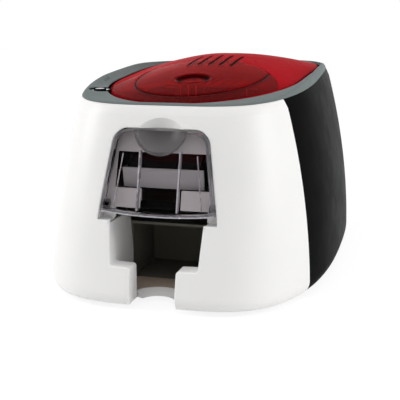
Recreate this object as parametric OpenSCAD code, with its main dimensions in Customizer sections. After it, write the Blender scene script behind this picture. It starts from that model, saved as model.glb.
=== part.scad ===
// Desktop card printer: a rounded housing of a white front shell, a dark rear shell and a grey
// top bezel, a domed red lid that carries the print head, a smoked card feeder cover, and the
// card path, rollers, gear train and ribbon cassette between two steel side frames.
// Millimetres. +Z is up and the front faces -Y. The origin is on the floor under the middle.

/* [Housing] */
// Overall width of the housing
body_w = 226; // [215:1:240]
// Overall depth of the housing
body_l = 378; // [366:1:400]
// Height of the white shell at the middle of the front, above its own lower edge
front_h = 137.5; // [132:0.5:145]
// How far each side leans in over the first 150 mm of height
side_lean = 21.8; // [16:0.2:25]
// How far the front leans back for each millimetre of height
front_lean = 0.228; // [0.2:0.004:0.25]
// How far the back leans in for each millimetre of height
rear_lean = 0.2; // [0.17:0.01:0.23]
// Rise of the top edge for each millimetre towards the back
top_slope = 0.08; // [0.07:0.002:0.09]
// Wall of the moulded shells
shell_wall = 2.6; // [2:0.1:3]
// Seam between neighbouring shells
seam = 0.3; // [0.2:0.05:0.4]
// Distance from the front to the seam between the white and the dark shell, at the floor
parting_y = 68; // [62:1:76]
// Height of the grey bezel's crest over the shells' top edge
crest_h = 4.3; // [3.5:0.1:5]

/* [Feet and base] */
// Height of the rubber feet
foot_h = 4; // [3:0.5:5]
// Diameter of the rubber feet
foot_d = 16; // [12:1:18]
// Thickness of the base plate
base_t = 2.5; // [2:0.1:3]

/* [Lid] */
// Half width of the lid's front oval
lid_half_w = 76; // [72:1:79]
// Widening of the lid towards the hinge, on each side
lid_flare = 7; // [4:1:8]
// Length from the lid's widest point to its front tip
lid_front_l = 122; // [116:1:123]
// Length from the lid's widest point to its back edge
lid_rear_l = 166; // [150:1:170]
// Height of the lid's dome over the top edge of the shells
lid_dome = 15; // [12:0.5:17]
// Thickness of the lid
lid_t = 2.4; // [2:0.1:3]
// Gap between the lid and the bezel
lid_gap = 1.6; // [1.4:0.1:2]
// Length of the ventilation slots in the lid
vent_l = 58; // [40:1:62]

/* [Card feeder] */
// Half width of the feeder cover at its lower edge
cover_low = 42.3; // [41:0.1:43]
// Half width of the feeder cover at its upper edge
cover_high = 33.4; // [32:0.1:34.5]
// Height of the cover's lower edge over the shell's lower edge
cover_z0 = 64.4; // [63.6:0.1:65.4]
// Height of the cover's upper edge over the shell's lower edge
cover_z1 = 121.4; // [119:0.1:123]
// Wall of the smoked cover
cover_t = 2; // [1.6:0.1:2.4]
// Radius of the thumb recess
thumb_r = 16.6; // [15:0.1:17.5]
// Inner width of the card hopper
hopper_w = 56; // [55:0.5:58]
// Height of the hopper floor over the shell's lower edge
hopper_z = 68; // [67:0.5:69]

/* [Output pocket] */
// Half width of the output pocket at its ceiling
pocket_w1 = 34.4; // [33:0.1:35]
// Half width of the output pocket at the shoulders
pocket_w0 = 32.3; // [31:0.1:33]
// Half width of the finger notch between the shoulders
notch_w = 16.9; // [15:0.1:18]
// Height of the shoulders over the shell's lower edge
shoulder_z = 26.4; // [24:0.1:28]
// Height of the pocket's ceiling over the shell's lower edge
pocket_z1 = 57.3; // [56:0.1:58]
// Length of the tray floor that the cards lie on
tray_l = 89; // [87:1:92]
// Wall of the tray
tray_t = 2; // [1.6:0.1:2.4]

/* [Mechanism] */
// Distance between the inner faces of the side frames
frame_gap = 88; // [87:0.5:90]
// Thickness of the steel side frames
frame_t = 1.6; // [1.2:0.1:2]
// Diameter of the roller shafts
shaft_d = 6; // [5:0.1:6.4]
// Radial clearance between a shaft and its bush
bush_gap = 0.04; // [0.02:0.01:0.08]
// Diameter of the platen roller
platen_d = 16; // [15:0.1:17]
// Diameter of the transport rollers
feed_d = 12; // [11:0.1:13]
// Diameter of the pick roller
pick_d = 18; // [17:0.1:19]
// Height of the card path over the floor
path_z = 72; // [71.5:0.1:72.5]
// Gear module
gear_m = 1; // [0.95:0.05:1.05]
// Width of the gears
gear_w = 5; // [4:0.1:6]
// Play between gear teeth, measured along the pitch circle
gear_play = 0.3; // [0.2:0.05:0.4]

/* [Controls] */
// Diameter of the power button
button_d = 10; // [9:0.1:11]

/* [Hidden] */

white = "#f2f0ee";
smoke = "#6f6f76";
dark = "#26292b";
grey = "#7a8484";
red = "#b3151c";
steel = "#b9bdc0";
black = "#1b1c1d";

// Form of the housing. Every level is a superellipse with these exponents.
plan_nx = 4;
plan_ny = 2.6;
ref_h = 150;
tuck_r = 9;
tuck_share = 0.6;
front_bow = 2.5;

function spow(v, n) = sign(v) * pow(abs(v), n);
function clamp01(v) = max(0, min(1, v));
function ease(v) = let (c = clamp01(v)) c * c * (3 - 2 * c);
function over_foot(z) = z - foot_h;
function half_w(z) = body_w / 2 - side_lean * pow(over_foot(z) / ref_h, 2);
function y_front(z) = -body_l / 2 + front_lean * over_foot(z)
  + front_bow * pow(over_foot(z) / ref_h, 6);
function y_back(z) = body_l / 2 - rear_lean * over_foot(z);
function tuck(z) = let (h = clamp01(over_foot(z) / tuck_r))
  tuck_share * tuck_r * (1 - sqrt(1 - (1 - h) * (1 - h)));
function mid_y(z) = (y_front(z) + y_back(z)) / 2;
function half_l(z) = (y_back(z) - y_front(z)) / 2;
function plan_x(a, z, inset) = (half_w(z) - inset - tuck(z)) * spow(cos(a), 2 / plan_nx);
function plan_y(a, z, inset) = mid_y(z)
  + (half_l(z) - inset - tuck(z)) * spow(sin(a), 2 / plan_ny);
// Front surface of the housing at a given x and height
function face_y(x, z, inset = 0) = mid_y(z) - (half_l(z) - inset - tuck(z))
  * pow(1 - pow(abs(x) / (half_w(z) - inset), plan_nx), 1 / plan_ny);

// The top edge of the shells rises towards the back and levels off behind the middle.
edge_y = y_front(foot_h + front_h);
top_bend = 150;
top_round = 0.00025;
function top_z(y) = foot_h + front_h + top_slope * (y - edge_y)
  - top_round * pow(max(0, y - edge_y - top_bend), 2);

// Seam between the white and the dark shell
part_lean = 0.054;
function part_y(z) = -body_l / 2 + parting_y - 2.8 + part_lean * over_foot(z);
function part_a(z, inset) = -asin(pow((mid_y(z) - part_y(z))
  / (half_l(z) - inset - tuck(z)), plan_ny / 2));

// A point of the housing: u runs round the part, s from the floor edge to the top plane.
function front_a(u, z, inset) = -90 + u * (90 + part_a(z, inset));
function rear_a(u, z, inset) = 90 + u * (90 - part_a(z, inset));
function ring_a(u, z, inset) = 360 * u;
function angle_at(kind, u, z, inset) = kind == "front" ? front_a(u, z, inset)
  : kind == "rear" ? rear_a(u, z, inset) : ring_a(u, z, inset);
function z_next(kind, u, s, inset, rise, z) =
  foot_h + s * (top_z(plan_y(angle_at(kind, u, z, inset), z, inset)) - foot_h) + rise;
function z_at(kind, u, s, inset, rise) =
  z_next(kind, u, s, inset, rise,
    z_next(kind, u, s, inset, rise,
      z_next(kind, u, s, inset, rise, foot_h + s * front_h + rise)));
function skin_pt(kind, u, s, inset, rise = 0, dy = 0) =
  let (z = z_at(kind, u, s, inset, rise), a = angle_at(kind, u, z, inset))
    [plan_x(a, z, inset), plan_y(a, z, inset) + dy, z];

// Closed solid through equal loops of points. A ring joins its last loop to its first.
module sweep(loops, ring = false) {
  n = len(loops);
  m = len(loops[0]);
  points = [for (l = loops) for (p = l) p];
  last = ring ? n - 1 : n - 2;
  sides = [for (i = [0:last]) for (j = [0:m - 1])
    let (a = i * m + j, b = i * m + (j + 1) % m, i2 = (i + 1) % n)
      let (c = i2 * m + (j + 1) % m, d = i2 * m + j)
        each [[a, b, c], [a, c, d]]];
  ends = ring ? [] : [[for (j = [m - 1:-1:0]) j], [for (j = [0:m - 1]) (n - 1) * m + j]];
  polyhedron(points, concat(sides, ends), convexity = 8);
}

outer_levels = [0, 0.015, 0.035, 0.07, 0.2, 0.35, 0.5, 0.65, 0.8, 0.92, 1];
inner_levels = [1, 0.75, 0.5, 0.25, 0.07, 0];

module shell_wall_part(kind, count, dy) {
  sweep([for (i = [0:count]) let (u = -1 + 2 * i / count)
    concat([for (s = outer_levels) skin_pt(kind, u, s, 0, 0, dy)],
      [for (s = inner_levels) skin_pt(kind, u, s, shell_wall, 0, dy)])]);
}

// Solid slab of the front, between two insets, for parts that follow the front surface
slab_x = 47;
slab_n = 10;
slab_z0 = 45;
slab_z1 = 134;
slab_levels = 8;
module front_slab(out_inset, in_inset) {
  sweep([for (i = [0:slab_n]) let (x = -slab_x + 2 * slab_x * i / slab_n)
    concat([for (k = [0:slab_levels]) let (z = foot_h + slab_z0
        + (slab_z1 - slab_z0) * k / slab_levels) [x, face_y(x, z, out_inset), z]],
      [for (k = [slab_levels:-1:0]) let (z = foot_h + slab_z0
        + (slab_z1 - slab_z0) * k / slab_levels) [x, face_y(x, z, in_inset), z]])]);
}

// Extrudes a front-view outline along Y, from y0 to y1
module through_front(y0, y1) {
  translate([0, y1, foot_h]) rotate([90, 0, 0]) linear_extrude(y1 - y0) children();
}

// Outline of the feeder cover in the front view, grown by g
cover_r = 11;
cover_sag = 2.2;
function arc_pts(cx, cy, r, a0, a1, n) =
  [for (i = [0:n]) let (a = a0 + (a1 - a0) * i / n) [cx + r * cos(a), cy + r * sin(a)]];
cover_side = atan2(cover_z1 - cover_z0, cover_low - cover_high);
module cover_outline(g = 0, drop = 0) {
  r = cover_r + g;
  zc = cover_z1 - cover_r;
  xc = cover_high - cover_r + (cover_low - cover_high) * cover_r / (cover_z1 - cover_z0);
  x0 = cover_low + g + drop * (cover_low - cover_high) / (cover_z1 - cover_z0);
  z0 = cover_z0 - g - drop;
  bottom = drop > 0 ? [] : [for (i = [1:7]) let (t = -1 + i / 4)
    [x0 * t, z0 - cover_sag * (1 - t * t)]];
  polygon(concat([[-x0, z0]], bottom, [[x0, z0]],
    arc_pts(xc, zc, r, 90 - cover_side, 90, 8), arc_pts(-xc, zc, r, 90, 90 + cover_side, 8)));
}

// Thumb recess: two shallow ball-shaped dishes, the upper one in the white shell and the
// lower one in the cover, that meet at the cover's upper edge
face_tilt = atan(front_lean);
upper_rim = thumb_r + 4.4;
upper_depth = 10;
upper_z = cover_z1 - 12.9;
lower_rim = thumb_r + 0.6;
lower_depth = 7.5;
lower_z = cover_z1 + 1.5;
module dish(rim, depth, z, grow) {
  r = (rim * rim + depth * depth) / (2 * depth);
  translate([0, face_y(0, foot_h + z) - (r - depth) * cos(face_tilt),
    foot_h + z + (r - depth) * sin(face_tilt)])
    sphere(r = r + grow, $fn = 64);
}
module upper_dish(grow) {
  dish(upper_rim, upper_depth, upper_z, grow);
}
module lower_dish(grow) {
  dish(lower_rim, lower_depth, lower_z, grow);
}

// Window and pocket in the front view
window_gap = 0.7;
frame_rim = 1.6;
step_z = 58.6;
wall_depth = 56;
pocket_back_y = -body_l / 2 + wall_depth;
module pocket_outline(g = 0) {
  polygon([[-notch_w - g, -9], [notch_w + g, -9], [notch_w + g, shoulder_z - g],
    [pocket_w0 + g, shoulder_z + 0.6 - g], [pocket_w1 + g, pocket_z1 + g],
    [pocket_w1 + g, step_z + 1], [-pocket_w1 - g, step_z + 1],
    [-pocket_w1 - g, pocket_z1 + g], [-pocket_w0 - g, shoulder_z + 0.6 - g],
    [-notch_w - g, shoulder_z - g]]);
}
module window_outline() {
  cover_outline(window_gap, cover_z0 - step_z);
}

shoulder_l = 20.5;
module front_shell() color(white) {
  difference() {
    union() {
      shell_wall_part("front", 21, -seam / 2);
      intersection() {
        front_core();
        pocket_walls();
      }
      thumb_dish();
    }
    through_front(-body_l, pocket_back_y + 20) pocket_outline();
    through_front(-body_l, -body_l / 2 + 45) window_outline();
    upper_dish(0);
  }
}
// The front of the housing as a solid, a little inside its outer skin
module front_core() {
  lean_levels = [0, 0.015, 0.035, 0.07, 0.2, 0.35, 0.5];
  core_back = pocket_back_y + 5;
  sweep([for (i = [0:16]) let (x = -40 + 80 * i / 16)
    concat([for (s = lean_levels) let (z = foot_h + s * front_h)
        [x, face_y(x, z, 0.3), z]],
      [[x, core_back, foot_h + 0.5 * front_h], [x, core_back, foot_h]])]);
}
module pocket_walls() {
  wall = tray_t;
  wall_top = step_z - window_gap - frame_rim - seam;
  // Side walls of the pocket
  through_front(-body_l, pocket_back_y) difference() {
    polygon([[-pocket_w0 - wall, base_t + seam], [pocket_w0 + wall, base_t + seam],
      [pocket_w0 + wall, shoulder_z], [pocket_w1 + wall, wall_top],
      [-pocket_w1 - wall, wall_top], [-pocket_w0 - wall, shoulder_z]]);
    polygon([[-pocket_w0, -1], [pocket_w0, -1], [pocket_w0, shoulder_z],
      [pocket_w1, pocket_z1 + 1], [-pocket_w1, pocket_z1 + 1], [-pocket_w0, shoulder_z]]);
  }
  // Shoulders beside the finger notch
  y0 = y_front(foot_h + shoulder_z);
  for (side = [-1, 1])
    translate([side * (notch_w + pocket_w0 + 1) / 2 - (pocket_w0 + 1 - notch_w) / 2,
      0, foot_h + 0.5])
      rotate([90, 0, 90]) linear_extrude(pocket_w0 + 1 - notch_w)
        polygon([[y0 - 20, 0], [-body_l / 2 + shoulder_l, 0],
          [-body_l / 2 + shoulder_l, shoulder_z + 3.6], [y0, shoulder_z + 0.2],
          [y0 - 20, shoulder_z]]);
}
module thumb_dish() {
  intersection() {
    upper_dish(2);
    front_slab(0.3, 14);
    translate([-upper_rim, -body_l, foot_h + cover_z1 - 1]) cube([2 * upper_rim, body_l, 13]);
  }
}

// Rear shell with the openings for its sockets, its lock slot and its vents
socket_x = -52;
socket_z = 20;
usb_x = -26;
socket_bore = 8.4;
socket_rim = 2.1;
socket_fit = 0.2;
module rear_shell() color(dark) difference() {
  shell_wall_part("rear", 44, seam / 2);
  translate([socket_x, body_l / 2 - 30, foot_h + socket_z]) rotate([-90, 0, 0])
    cylinder(h = 60, d = socket_bore + 2 * (socket_rim + socket_fit), $fn = 48);
  translate([usb_x - 6.6, body_l / 2 - 30, foot_h + socket_z - 5.8]) cube([13.2, 60, 11.6]);
  for (i = [0:8])
    translate([-26 + i * 12, body_l / 2 - 40, foot_h + 62]) cube([5, 60, 34]);
  for (side = [-1, 1]) for (i = [0:6])
    translate([side * body_w / 2 - 20, 60 + i * 9, foot_h + 18]) cube([40, 3.4, 22]);
}

// Outline of the lid: half an ellipse in front, flaring towards a square back
lid_y = -26.8;
lid_square = 4.1;
function lid_pt(a, g) = sin(a) <= 0
  ? [(lid_half_w + g) * cos(a), lid_y + (lid_front_l + g) * sin(a)]
  : let (c = spow(cos(a), 2 / lid_square), s = spow(sin(a), 2 / lid_square))
    [(lid_half_w + g + lid_flare * s) * c, lid_y + (lid_rear_l + g) * s];
lid_back_gap = 5.6;
function hole_pt(a) = lid_pt(a, lid_gap + (lid_back_gap - lid_gap) * ease(3 * (sin(a) - 0.6)));

// Top bezel: rises from the shells' edge to a crest and falls to the lid
bezel_n = 64;
ledge_w = 3;
ledge_z = 3;
skirt_z = 5;
function crest(y) = crest_h * ease((y - edge_y - 15) / 95)
  * (1 - 0.85 * ease((y - edge_y - 170) / 110));
function lift(p, z) = [p[0], p[1], z];
function mix(p, q, t) = p * (1 - t) + q * t;
function bezel_loop(u) = let (
  a = 360 * u,
  out = skin_pt("ring", u, 1, 0, seam),
  c = crest(out[1]),
  shoulder = skin_pt("ring", u, 1, 0.3, seam + 0.75 * c + 0.6),
  top1 = skin_pt("ring", u, 1, 1.3, seam + c + 1.2),
  top2 = skin_pt("ring", u, 1, 3.2, seam + c + 1.3),
  skirt = skin_pt("ring", u, 1, shell_wall + seam, seam),
  hole = hole_pt(a),
  ledge = mix(lid_pt(a, -ledge_w), hole_pt(a) * 0.998, ease(3 * (sin(a) - 0.55))),
  edge_z = top_z(hole[1]) + 0.9 + 0.15 * c,
  band = norm([skirt[0] - hole[0], skirt[1] - hole[1]]),
  hollow = 0.7 + 3.5 * ease((band - 4) / 10) + 0.5 * c * ease((band - 4) / 10),
  zb = top_z(hole[1]) - skirt_z,
  zs = top_z(skirt[1]) - skirt_z,
  foot = [skirt[0], skirt[1], zs],
  inner = [hole[0], hole[1], zb],
  g1 = mix(foot, inner, 0.28),
  g2 = mix(foot, inner, 0.7))
  [out, shoulder, top1, top2,
    lift(mix(top2, [hole[0], hole[1], edge_z], 0.5), (top2[2] + edge_z) / 2 - 0.25 * c),
    [hole[0], hole[1], edge_z], [hole[0], hole[1], top_z(hole[1]) - ledge_z],
    [ledge[0], ledge[1], top_z(ledge[1]) - ledge_z], [ledge[0], ledge[1], top_z(ledge[1]) - skirt_z],
    g2, lift(g2, g2[2] + hollow), lift(g1, g1[2] + hollow), g1, foot, skirt];

button_x = -70;
button_y = -100;
button_hole = 15;
light_n = 3;
light_d = 2.2;
function light_pos(i) = [-80.5 - i * 0.9, -63 + i * 5.5];
module top_bezel() color(grey) difference() {
  sweep([for (i = [0:bezel_n - 1]) bezel_loop(i / bezel_n)], ring = true);
  translate([button_x, button_y, top_z(button_y) - 20]) cylinder(h = 40, d = button_hole, $fn = 48);
  for (i = [0:light_n - 1])
    translate([light_pos(i)[0], light_pos(i)[1], top_z(light_pos(i)[1]) - 20])
      cylinder(h = 40, d = light_d + 0.2, $fn = 24);
}

// Plan outline of the housing at one height, for flat plates inside it
module plan_outline(z, inset) {
  polygon([for (i = [0:71]) let (a = 5 * i) [plan_x(a, z, inset), plan_y(a, z, inset)]]);
}
base_top = foot_h + base_t;
scoop_r = 20;
tray_y0 = -body_l / 2 + 16;
scoop_y = tray_y0 - 1;
module base_plate() color(dark) difference() {
  translate([0, 0, foot_h]) linear_extrude(base_t)
    plan_outline(foot_h + base_t, shell_wall + seam + tuck(foot_h) - tuck(foot_h + base_t));
  translate([-notch_w - 1, -body_l / 2 - 1, foot_h - 1])
    cube([2 * notch_w + 2, 26, base_t + 2]);
  translate([0, scoop_y, foot_h - 1]) cylinder(h = base_t + 2, r = scoop_r + 0.5, $fn = 64);
  translate([-pocket_w0 - 3, -body_l / 2 - 1, foot_h - 1])
    cube([2 * pocket_w0 + 6, shoulder_l + 2, base_t + 2]);
  for (sx = [-1, 1]) for (y = screw_y) translate([sx * screw_x, y, foot_h - 1])
    cylinder(h = base_t + 2, d = screw_d, $fn = 24);
}
foot_x = 78;
foot_y = 135;
module rubber_feet() color(black)
  for (sx = [-1, 1]) for (sy = [-1, 1])
    translate([sx * foot_x, sy * foot_y, 0]) cylinder(h = foot_h, d = foot_d, $fn = 48);

// Output tray: floor with a finger scoop in its front edge
tray_floor = base_top + tray_t;
bin_y0 = pocket_back_y + seam;
bin_y1 = tray_y0 + tray_l;
bin_ceiling = 50;
module output_tray() color(white) difference() {
  union() {
    translate([-pocket_w0 + seam, -body_l / 2 + shoulder_l + seam, base_top])
      cube([2 * (pocket_w0 - seam), bin_y0 - seam + body_l / 2 - shoulder_l - seam, tray_t]);
    translate([-notch_w + seam, tray_y0, base_top])
      cube([2 * (notch_w - seam), shoulder_l, tray_t]);
  }
  translate([0, scoop_y, foot_h - 1]) cylinder(h = tray_t + base_t + 2, r = scoop_r, $fn = 64);
}

// Dark bin behind the white pocket, where the finished cards stop
module tray_bin() color(black) {
  w = pocket_w0 + tray_t;
  top = bin_ceiling + tray_t;
  difference() {
    translate([-w, bin_y0, base_top]) cube([2 * w, bin_y1 + tray_t - bin_y0, top - base_top]);
    translate([-pocket_w0, bin_y0 - 1, tray_floor])
      cube([2 * pocket_w0, bin_y1 - bin_y0 + 1, bin_ceiling - tray_floor]);
    translate([-29, bin_y1 - 1, bin_ceiling - 9]) cube([58, tray_t + 2, 7]);
  }
}

// Card hopper: recessed face behind the cover, bin for a stack of cards, feed slot
face_inset = 10.5;
face_t = 2.5;
mouth_w = 35;
mouth_z0 = 79;
mouth_z1 = 104.5;
hopper_notch = 15;
hopper_wall = 2;
hopper_y1 = -80;
hopper_y0 = y_front(foot_h + hopper_z - hopper_wall) + face_inset + 1;
hopper_l = hopper_y1 - hopper_y0;
hopper_top = 110;
hopper_floor = foot_h + hopper_z;
feed_slot = 2.4;
feed_y = -72;
pick_y = -95;
module card_hopper() color(white) difference() {
  union() {
    intersection() {
      front_slab(face_inset, face_inset + face_t);
      through_front(-body_l, -100) difference() {
        window_outline();
        translate([-pocket_w1, step_z - 5])
          square([2 * pocket_w1, hopper_z - hopper_wall + 5 - step_z]);
      }
    }
    intersection() {
      front_slab(shell_wall + seam, face_inset + face_t);
      through_front(-body_l, -100) difference() {
        cover_outline(window_gap + frame_rim, cover_z0 - step_z);
        window_outline();
        translate([-pocket_w1 - 1, 0]) square([2 * pocket_w1 + 2, hopper_z]);
      }
    }
    // Floor, side walls and back wall
    translate([-hopper_w / 2 - hopper_wall, 0, 0]) rotate([90, 0, 90])
      linear_extrude(hopper_w + 2 * hopper_wall)
        polygon([[hopper_y0, hopper_floor - hopper_wall], [hopper_y1, hopper_floor - hopper_wall],
          [hopper_y1, hopper_top], [y_front(hopper_top) + face_inset + 1, hopper_top]]);
    translate([-frame_gap / 2, hopper_y0 + 2, hopper_floor - hopper_wall])
      cube([frame_gap, hopper_l - 6, hopper_wall]);
  }
  translate([-hopper_w / 2, hopper_y0 + 3, hopper_floor])
    cube([hopper_w, hopper_l - hopper_wall - 3, 60]);
  // Feed slot at the back
  translate([-hopper_w / 2, hopper_y1 - 5, hopper_floor]) cube([hopper_w, 10, feed_slot]);
  // Mouth in the face, with the finger notch below it
  through_front(-body_l, hopper_y0 + 20) polygon([[-mouth_w, mouth_z0], [-hopper_notch, mouth_z0],
    [-hopper_notch, hopper_z], [hopper_notch, hopper_z], [hopper_notch, mouth_z0],
    [mouth_w, mouth_z0], [mouth_w, mouth_z1], [-mouth_w, mouth_z1]]);
  intersection() {
    upper_dish(2 + seam);
    translate([-30, -body_l, foot_h + cover_z1 - 2]) cube([60, body_l, 30]);
  }
  // Slot for the pick roller
  translate([-16, pick_y - 12, hopper_floor - 6]) cube([32, 24, 12]);
  // Pin holes of the flap
  translate([-40, flap_y, flap_z]) rotate([0, 90, 0])
    cylinder(h = 80, r = 1.5 + bush_gap, $fn = 32);
  // Pin holes of the cover
  translate([-60, pivot_y, pivot_z]) rotate([0, 90, 0])
    cylinder(h = 120, r = pivot_r + 0.02, $fn = 32);
}

pivot_r = 1.5;
pivot_z = foot_h + cover_z0 + 4;
pivot_y = face_y(cover_low - 2, pivot_z) + 5.5;
pivot_x = cover_low - (cover_low - cover_high) * 4 / (cover_z1 - cover_z0);
module cover_pivots() color(black)
  for (side = [-1, 1]) translate([side * (pivot_x - 0.5), pivot_y, pivot_z])
    rotate([0, 90, 0]) cylinder(h = 6.4, r = pivot_r, center = true, $fn = 32);

// Smoked cap over the feeder, with the lower half of the thumb recess in it
cover_proud = 1;
cover_depth = 4.5;
rib_x = 17.6;
module feeder_cover() color(smoke, 0.6) intersection() {
  cover_body();
  // Round about the pins, so that the upper edge swings clear of the shell
  translate([-60, pivot_y, pivot_z]) rotate([0, 90, 0]) cylinder(h = 120, r = swing_r, $fn = 180);
}
swing_r = norm([face_y(0, foot_h + cover_z1) - pivot_y, foot_h + cover_z1 - pivot_z]) - 0.25;
module cover_body() difference() {
  union() {
    difference() {
      intersection() {
        front_slab(-cover_proud, cover_depth);
        through_front(-body_l, -100) cover_outline();
      }
      intersection() {
        front_slab(cover_t - cover_proud, cover_depth + 6);
        through_front(-body_l, -100) offset(delta = -cover_t) cover_outline();
      }
    }
    intersection() {
      lower_dish(cover_t);
      front_slab(-cover_proud, cover_depth + 2);
      through_front(-body_l, -100) cover_outline(-0.4);
    }
    for (side = [-1, 1]) {
      intersection() {
        front_slab(0, 5);
        translate([side * rib_x - 0.7, -body_l, foot_h + cover_z0])
          cube([1.4, body_l, cover_z1 - cover_z0 - 14]);
      }
      translate([side * (pivot_x - 2.6), pivot_y, pivot_z]) rotate([0, 90, 0])
        cylinder(h = 3.6, r = pivot_r + 1.8, center = true, $fn = 40);
    }
  }
  lower_dish(0);
  intersection() {
    front_slab(3, 20);
    translate([-60, -body_l, foot_h]) cube([120, body_l, cover_z0 + 0.8]);
  }
  translate([-60, pivot_y, pivot_z]) rotate([0, 90, 0])
    cylinder(h = 120, r = pivot_r + bush_gap, $fn = 32);
}

// Grey flap that keeps the cards down, hung from two pins in the hopper's walls
flap_y = -122;
flap_z = 106;
flap_w = hopper_w - 2;
module hopper_presser() color(grey) difference() {
  union() {
    translate([-flap_w / 2, 0, 0]) rotate([90, 0, 90]) linear_extrude(flap_w)
      polygon([[flap_y - 3, flap_z - 3], [flap_y + 2, flap_z - 3], [flap_y + 2, flap_z + 2],
        [flap_y - 3, flap_z + 2], [-151, 101.5], [-157, 97], [-154, 84], [-148, 82.5],
        [-148, 85], [-152, 86], [-154, 96], [-150, 98.5]]);
    translate([-flap_w / 2, flap_y, flap_z]) rotate([0, 90, 0])
      cylinder(h = flap_w, r = 3, $fn = 40);
    translate([-hopper_w / 2 - hopper_wall, flap_y, flap_z]) rotate([0, 90, 0])
      cylinder(h = hopper_w + 2 * hopper_wall, r = 1.5, $fn = 32);
  }
}

// Positions of the shafts: [y, z], seen from the side
platen_pos = [-10, path_z - platen_d / 2];
front_pos = [feed_y, path_z - feed_d / 2];
rear_pos = [25, path_z - feed_d / 2];
pick_pos = [pick_y, path_z + 0.5 - pick_d / 2];
card_gap = 0.9;
pinch_d = 10;
clean_d = 14;
clean_pos = [-40, path_z + card_gap + clean_d / 2];
front_pinch_pos = [feed_y, path_z + card_gap + pinch_d / 2];
rear_pinch_pos = [25, path_z + card_gap + pinch_d / 2];
thin_d = 4;
drive_shafts = [platen_pos, front_pos, rear_pos, pick_pos];
thin_shafts = [clean_pos, front_pinch_pos, rear_pinch_pos];
bush_wall = 2;
flange = 1;
frame_x = frame_gap / 2;

module at_x(p, x) {
  translate([x, p[0], p[1]]) rotate([0, 90, 0]) children();
}

// Gear train. Tooth counts, and centres found from the two neighbours of each idler.
platen_n = 20;
feed_n = 15;
pick_n = 24;
middle_n = 46;
rear_n = 18;
idler_n = 12;
pinion_n = 12;
function mesh(n1, n2) = gear_m * (n1 + n2) / 2;
function dir(p, q) = atan2(q[1] - p[1], q[0] - p[0]);
// Centre at distance d1 from p and d2 from q, on the left of the way from p to q
function between(p, q, d1, d2) = let (d = norm(q - p), a = (d1 * d1 - d2 * d2 + d * d) / (2 * d),
  h = sqrt(d1 * d1 - a * a), u = (q - p) / d) p + a * u + h * [-u[1], u[0]];
middle_pos = between(platen_pos, front_pos, mesh(platen_n, middle_n), mesh(feed_n, middle_n));
rear_idler_pos = between(rear_pos, platen_pos, mesh(feed_n, rear_n), mesh(platen_n, rear_n));
pick_idler_pos = between(front_pos, pick_pos, mesh(feed_n, idler_n), mesh(pick_n, idler_n));
motor_pos = middle_pos - [0, mesh(middle_n, pinion_n)];
// Angle of a tooth of the second gear that meshes with the first, turned by phi
function meshed(p, q, phi, n1, n2) = let (a = dir(p, q))
  a + 180 + 180 / n2 + (a - phi) * n1 / n2;
middle_phi = meshed(platen_pos, middle_pos, 0, platen_n, middle_n);
front_phi = meshed(middle_pos, front_pos, middle_phi, middle_n, feed_n);
idler_phi = meshed(front_pos, pick_idler_pos, front_phi, feed_n, idler_n);
pick_phi = meshed(pick_idler_pos, pick_pos, idler_phi, idler_n, pick_n);
rear_idler_phi = meshed(platen_pos, rear_idler_pos, 0, platen_n, rear_n);
rear_phi = meshed(rear_idler_pos, rear_pos, rear_idler_phi, rear_n, feed_n);
pinion_phi = meshed(middle_pos, motor_pos, middle_phi, middle_n, pinion_n);

// Involute gear in the side view, on the right of the right frame
pressure = 20;
gear_x = frame_x + frame_t + 2.9;
function inv(a) = tan(a) * 180 / PI - a;
function tooth_half(r, rp) = (90 * (gear_m * PI / 2 - gear_play / 2) * 2 / (PI * rp)) / 2
  + inv(pressure) - (r > rp * cos(pressure) ? inv(acos(rp * cos(pressure) / r)) : 0);
module gear_2d(n) {
  rp = gear_m * n / 2;
  tip = rp + 0.95 * gear_m;
  base = max(rp * cos(pressure), rp - 0.8 * gear_m);
  root = rp - 1.2 * gear_m;
  radii = [base, rp - 0.1 * gear_m, rp + 0.45 * gear_m, tip];
  polygon([for (i = [0:n - 1]) each concat(
    [root * [cos(360 * i / n - tooth_half(base, rp)), sin(360 * i / n - tooth_half(base, rp))]],
    [for (r = radii) r * [cos(360 * i / n - tooth_half(r, rp)), sin(360 * i / n - tooth_half(r, rp))]],
    [for (k = [3:-1:0]) let (r = radii[k])
      r * [cos(360 * i / n + tooth_half(r, rp)), sin(360 * i / n + tooth_half(r, rp))]],
    [root * [cos(360 * i / n + tooth_half(base, rp)), sin(360 * i / n + tooth_half(base, rp))]])]);
}
module gear(p, n, phi, bore, hub) color(white) translate([gear_x, p[0], p[1]])
  rotate([90, 0, 90]) difference() {
    union() {
      linear_extrude(gear_w) rotate(phi) gear_2d(n);
      translate([0, 0, -1.2]) cylinder(h = gear_w + 2.2, r = hub, $fn = 40);
    }
    translate([0, 0, -2]) cylinder(h = gear_w + 4, r = bore, $fn = 40);
    web = gear_m * n / 2 - 3 - hub;
    if (web > 8) for (i = [0:5]) rotate(60 * i + 30) translate([hub + web / 2, 0, -1])
      cylinder(h = gear_w + 2, d = web * 0.8, $fn = 32);
  }

stud_d = 5;
module platen_gear() gear(platen_pos, platen_n, 0, shaft_d / 2, 5);
module front_feed_gear() gear(front_pos, feed_n, front_phi, shaft_d / 2, 4.6);
module rear_feed_gear() gear(rear_pos, feed_n, rear_phi, shaft_d / 2, 4.6);
module pick_gear() gear(pick_pos, pick_n, pick_phi, shaft_d / 2, 5);
module middle_idler_gear() gear(middle_pos, middle_n, middle_phi, stud_d / 2 + bush_gap, 5);
module rear_idler_gear() gear(rear_idler_pos, rear_n, rear_idler_phi, stud_d / 2 + bush_gap, 4.4);
module pick_idler_gear() gear(pick_idler_pos, idler_n, idler_phi, stud_d / 2 + bush_gap, 3.9);

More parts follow.
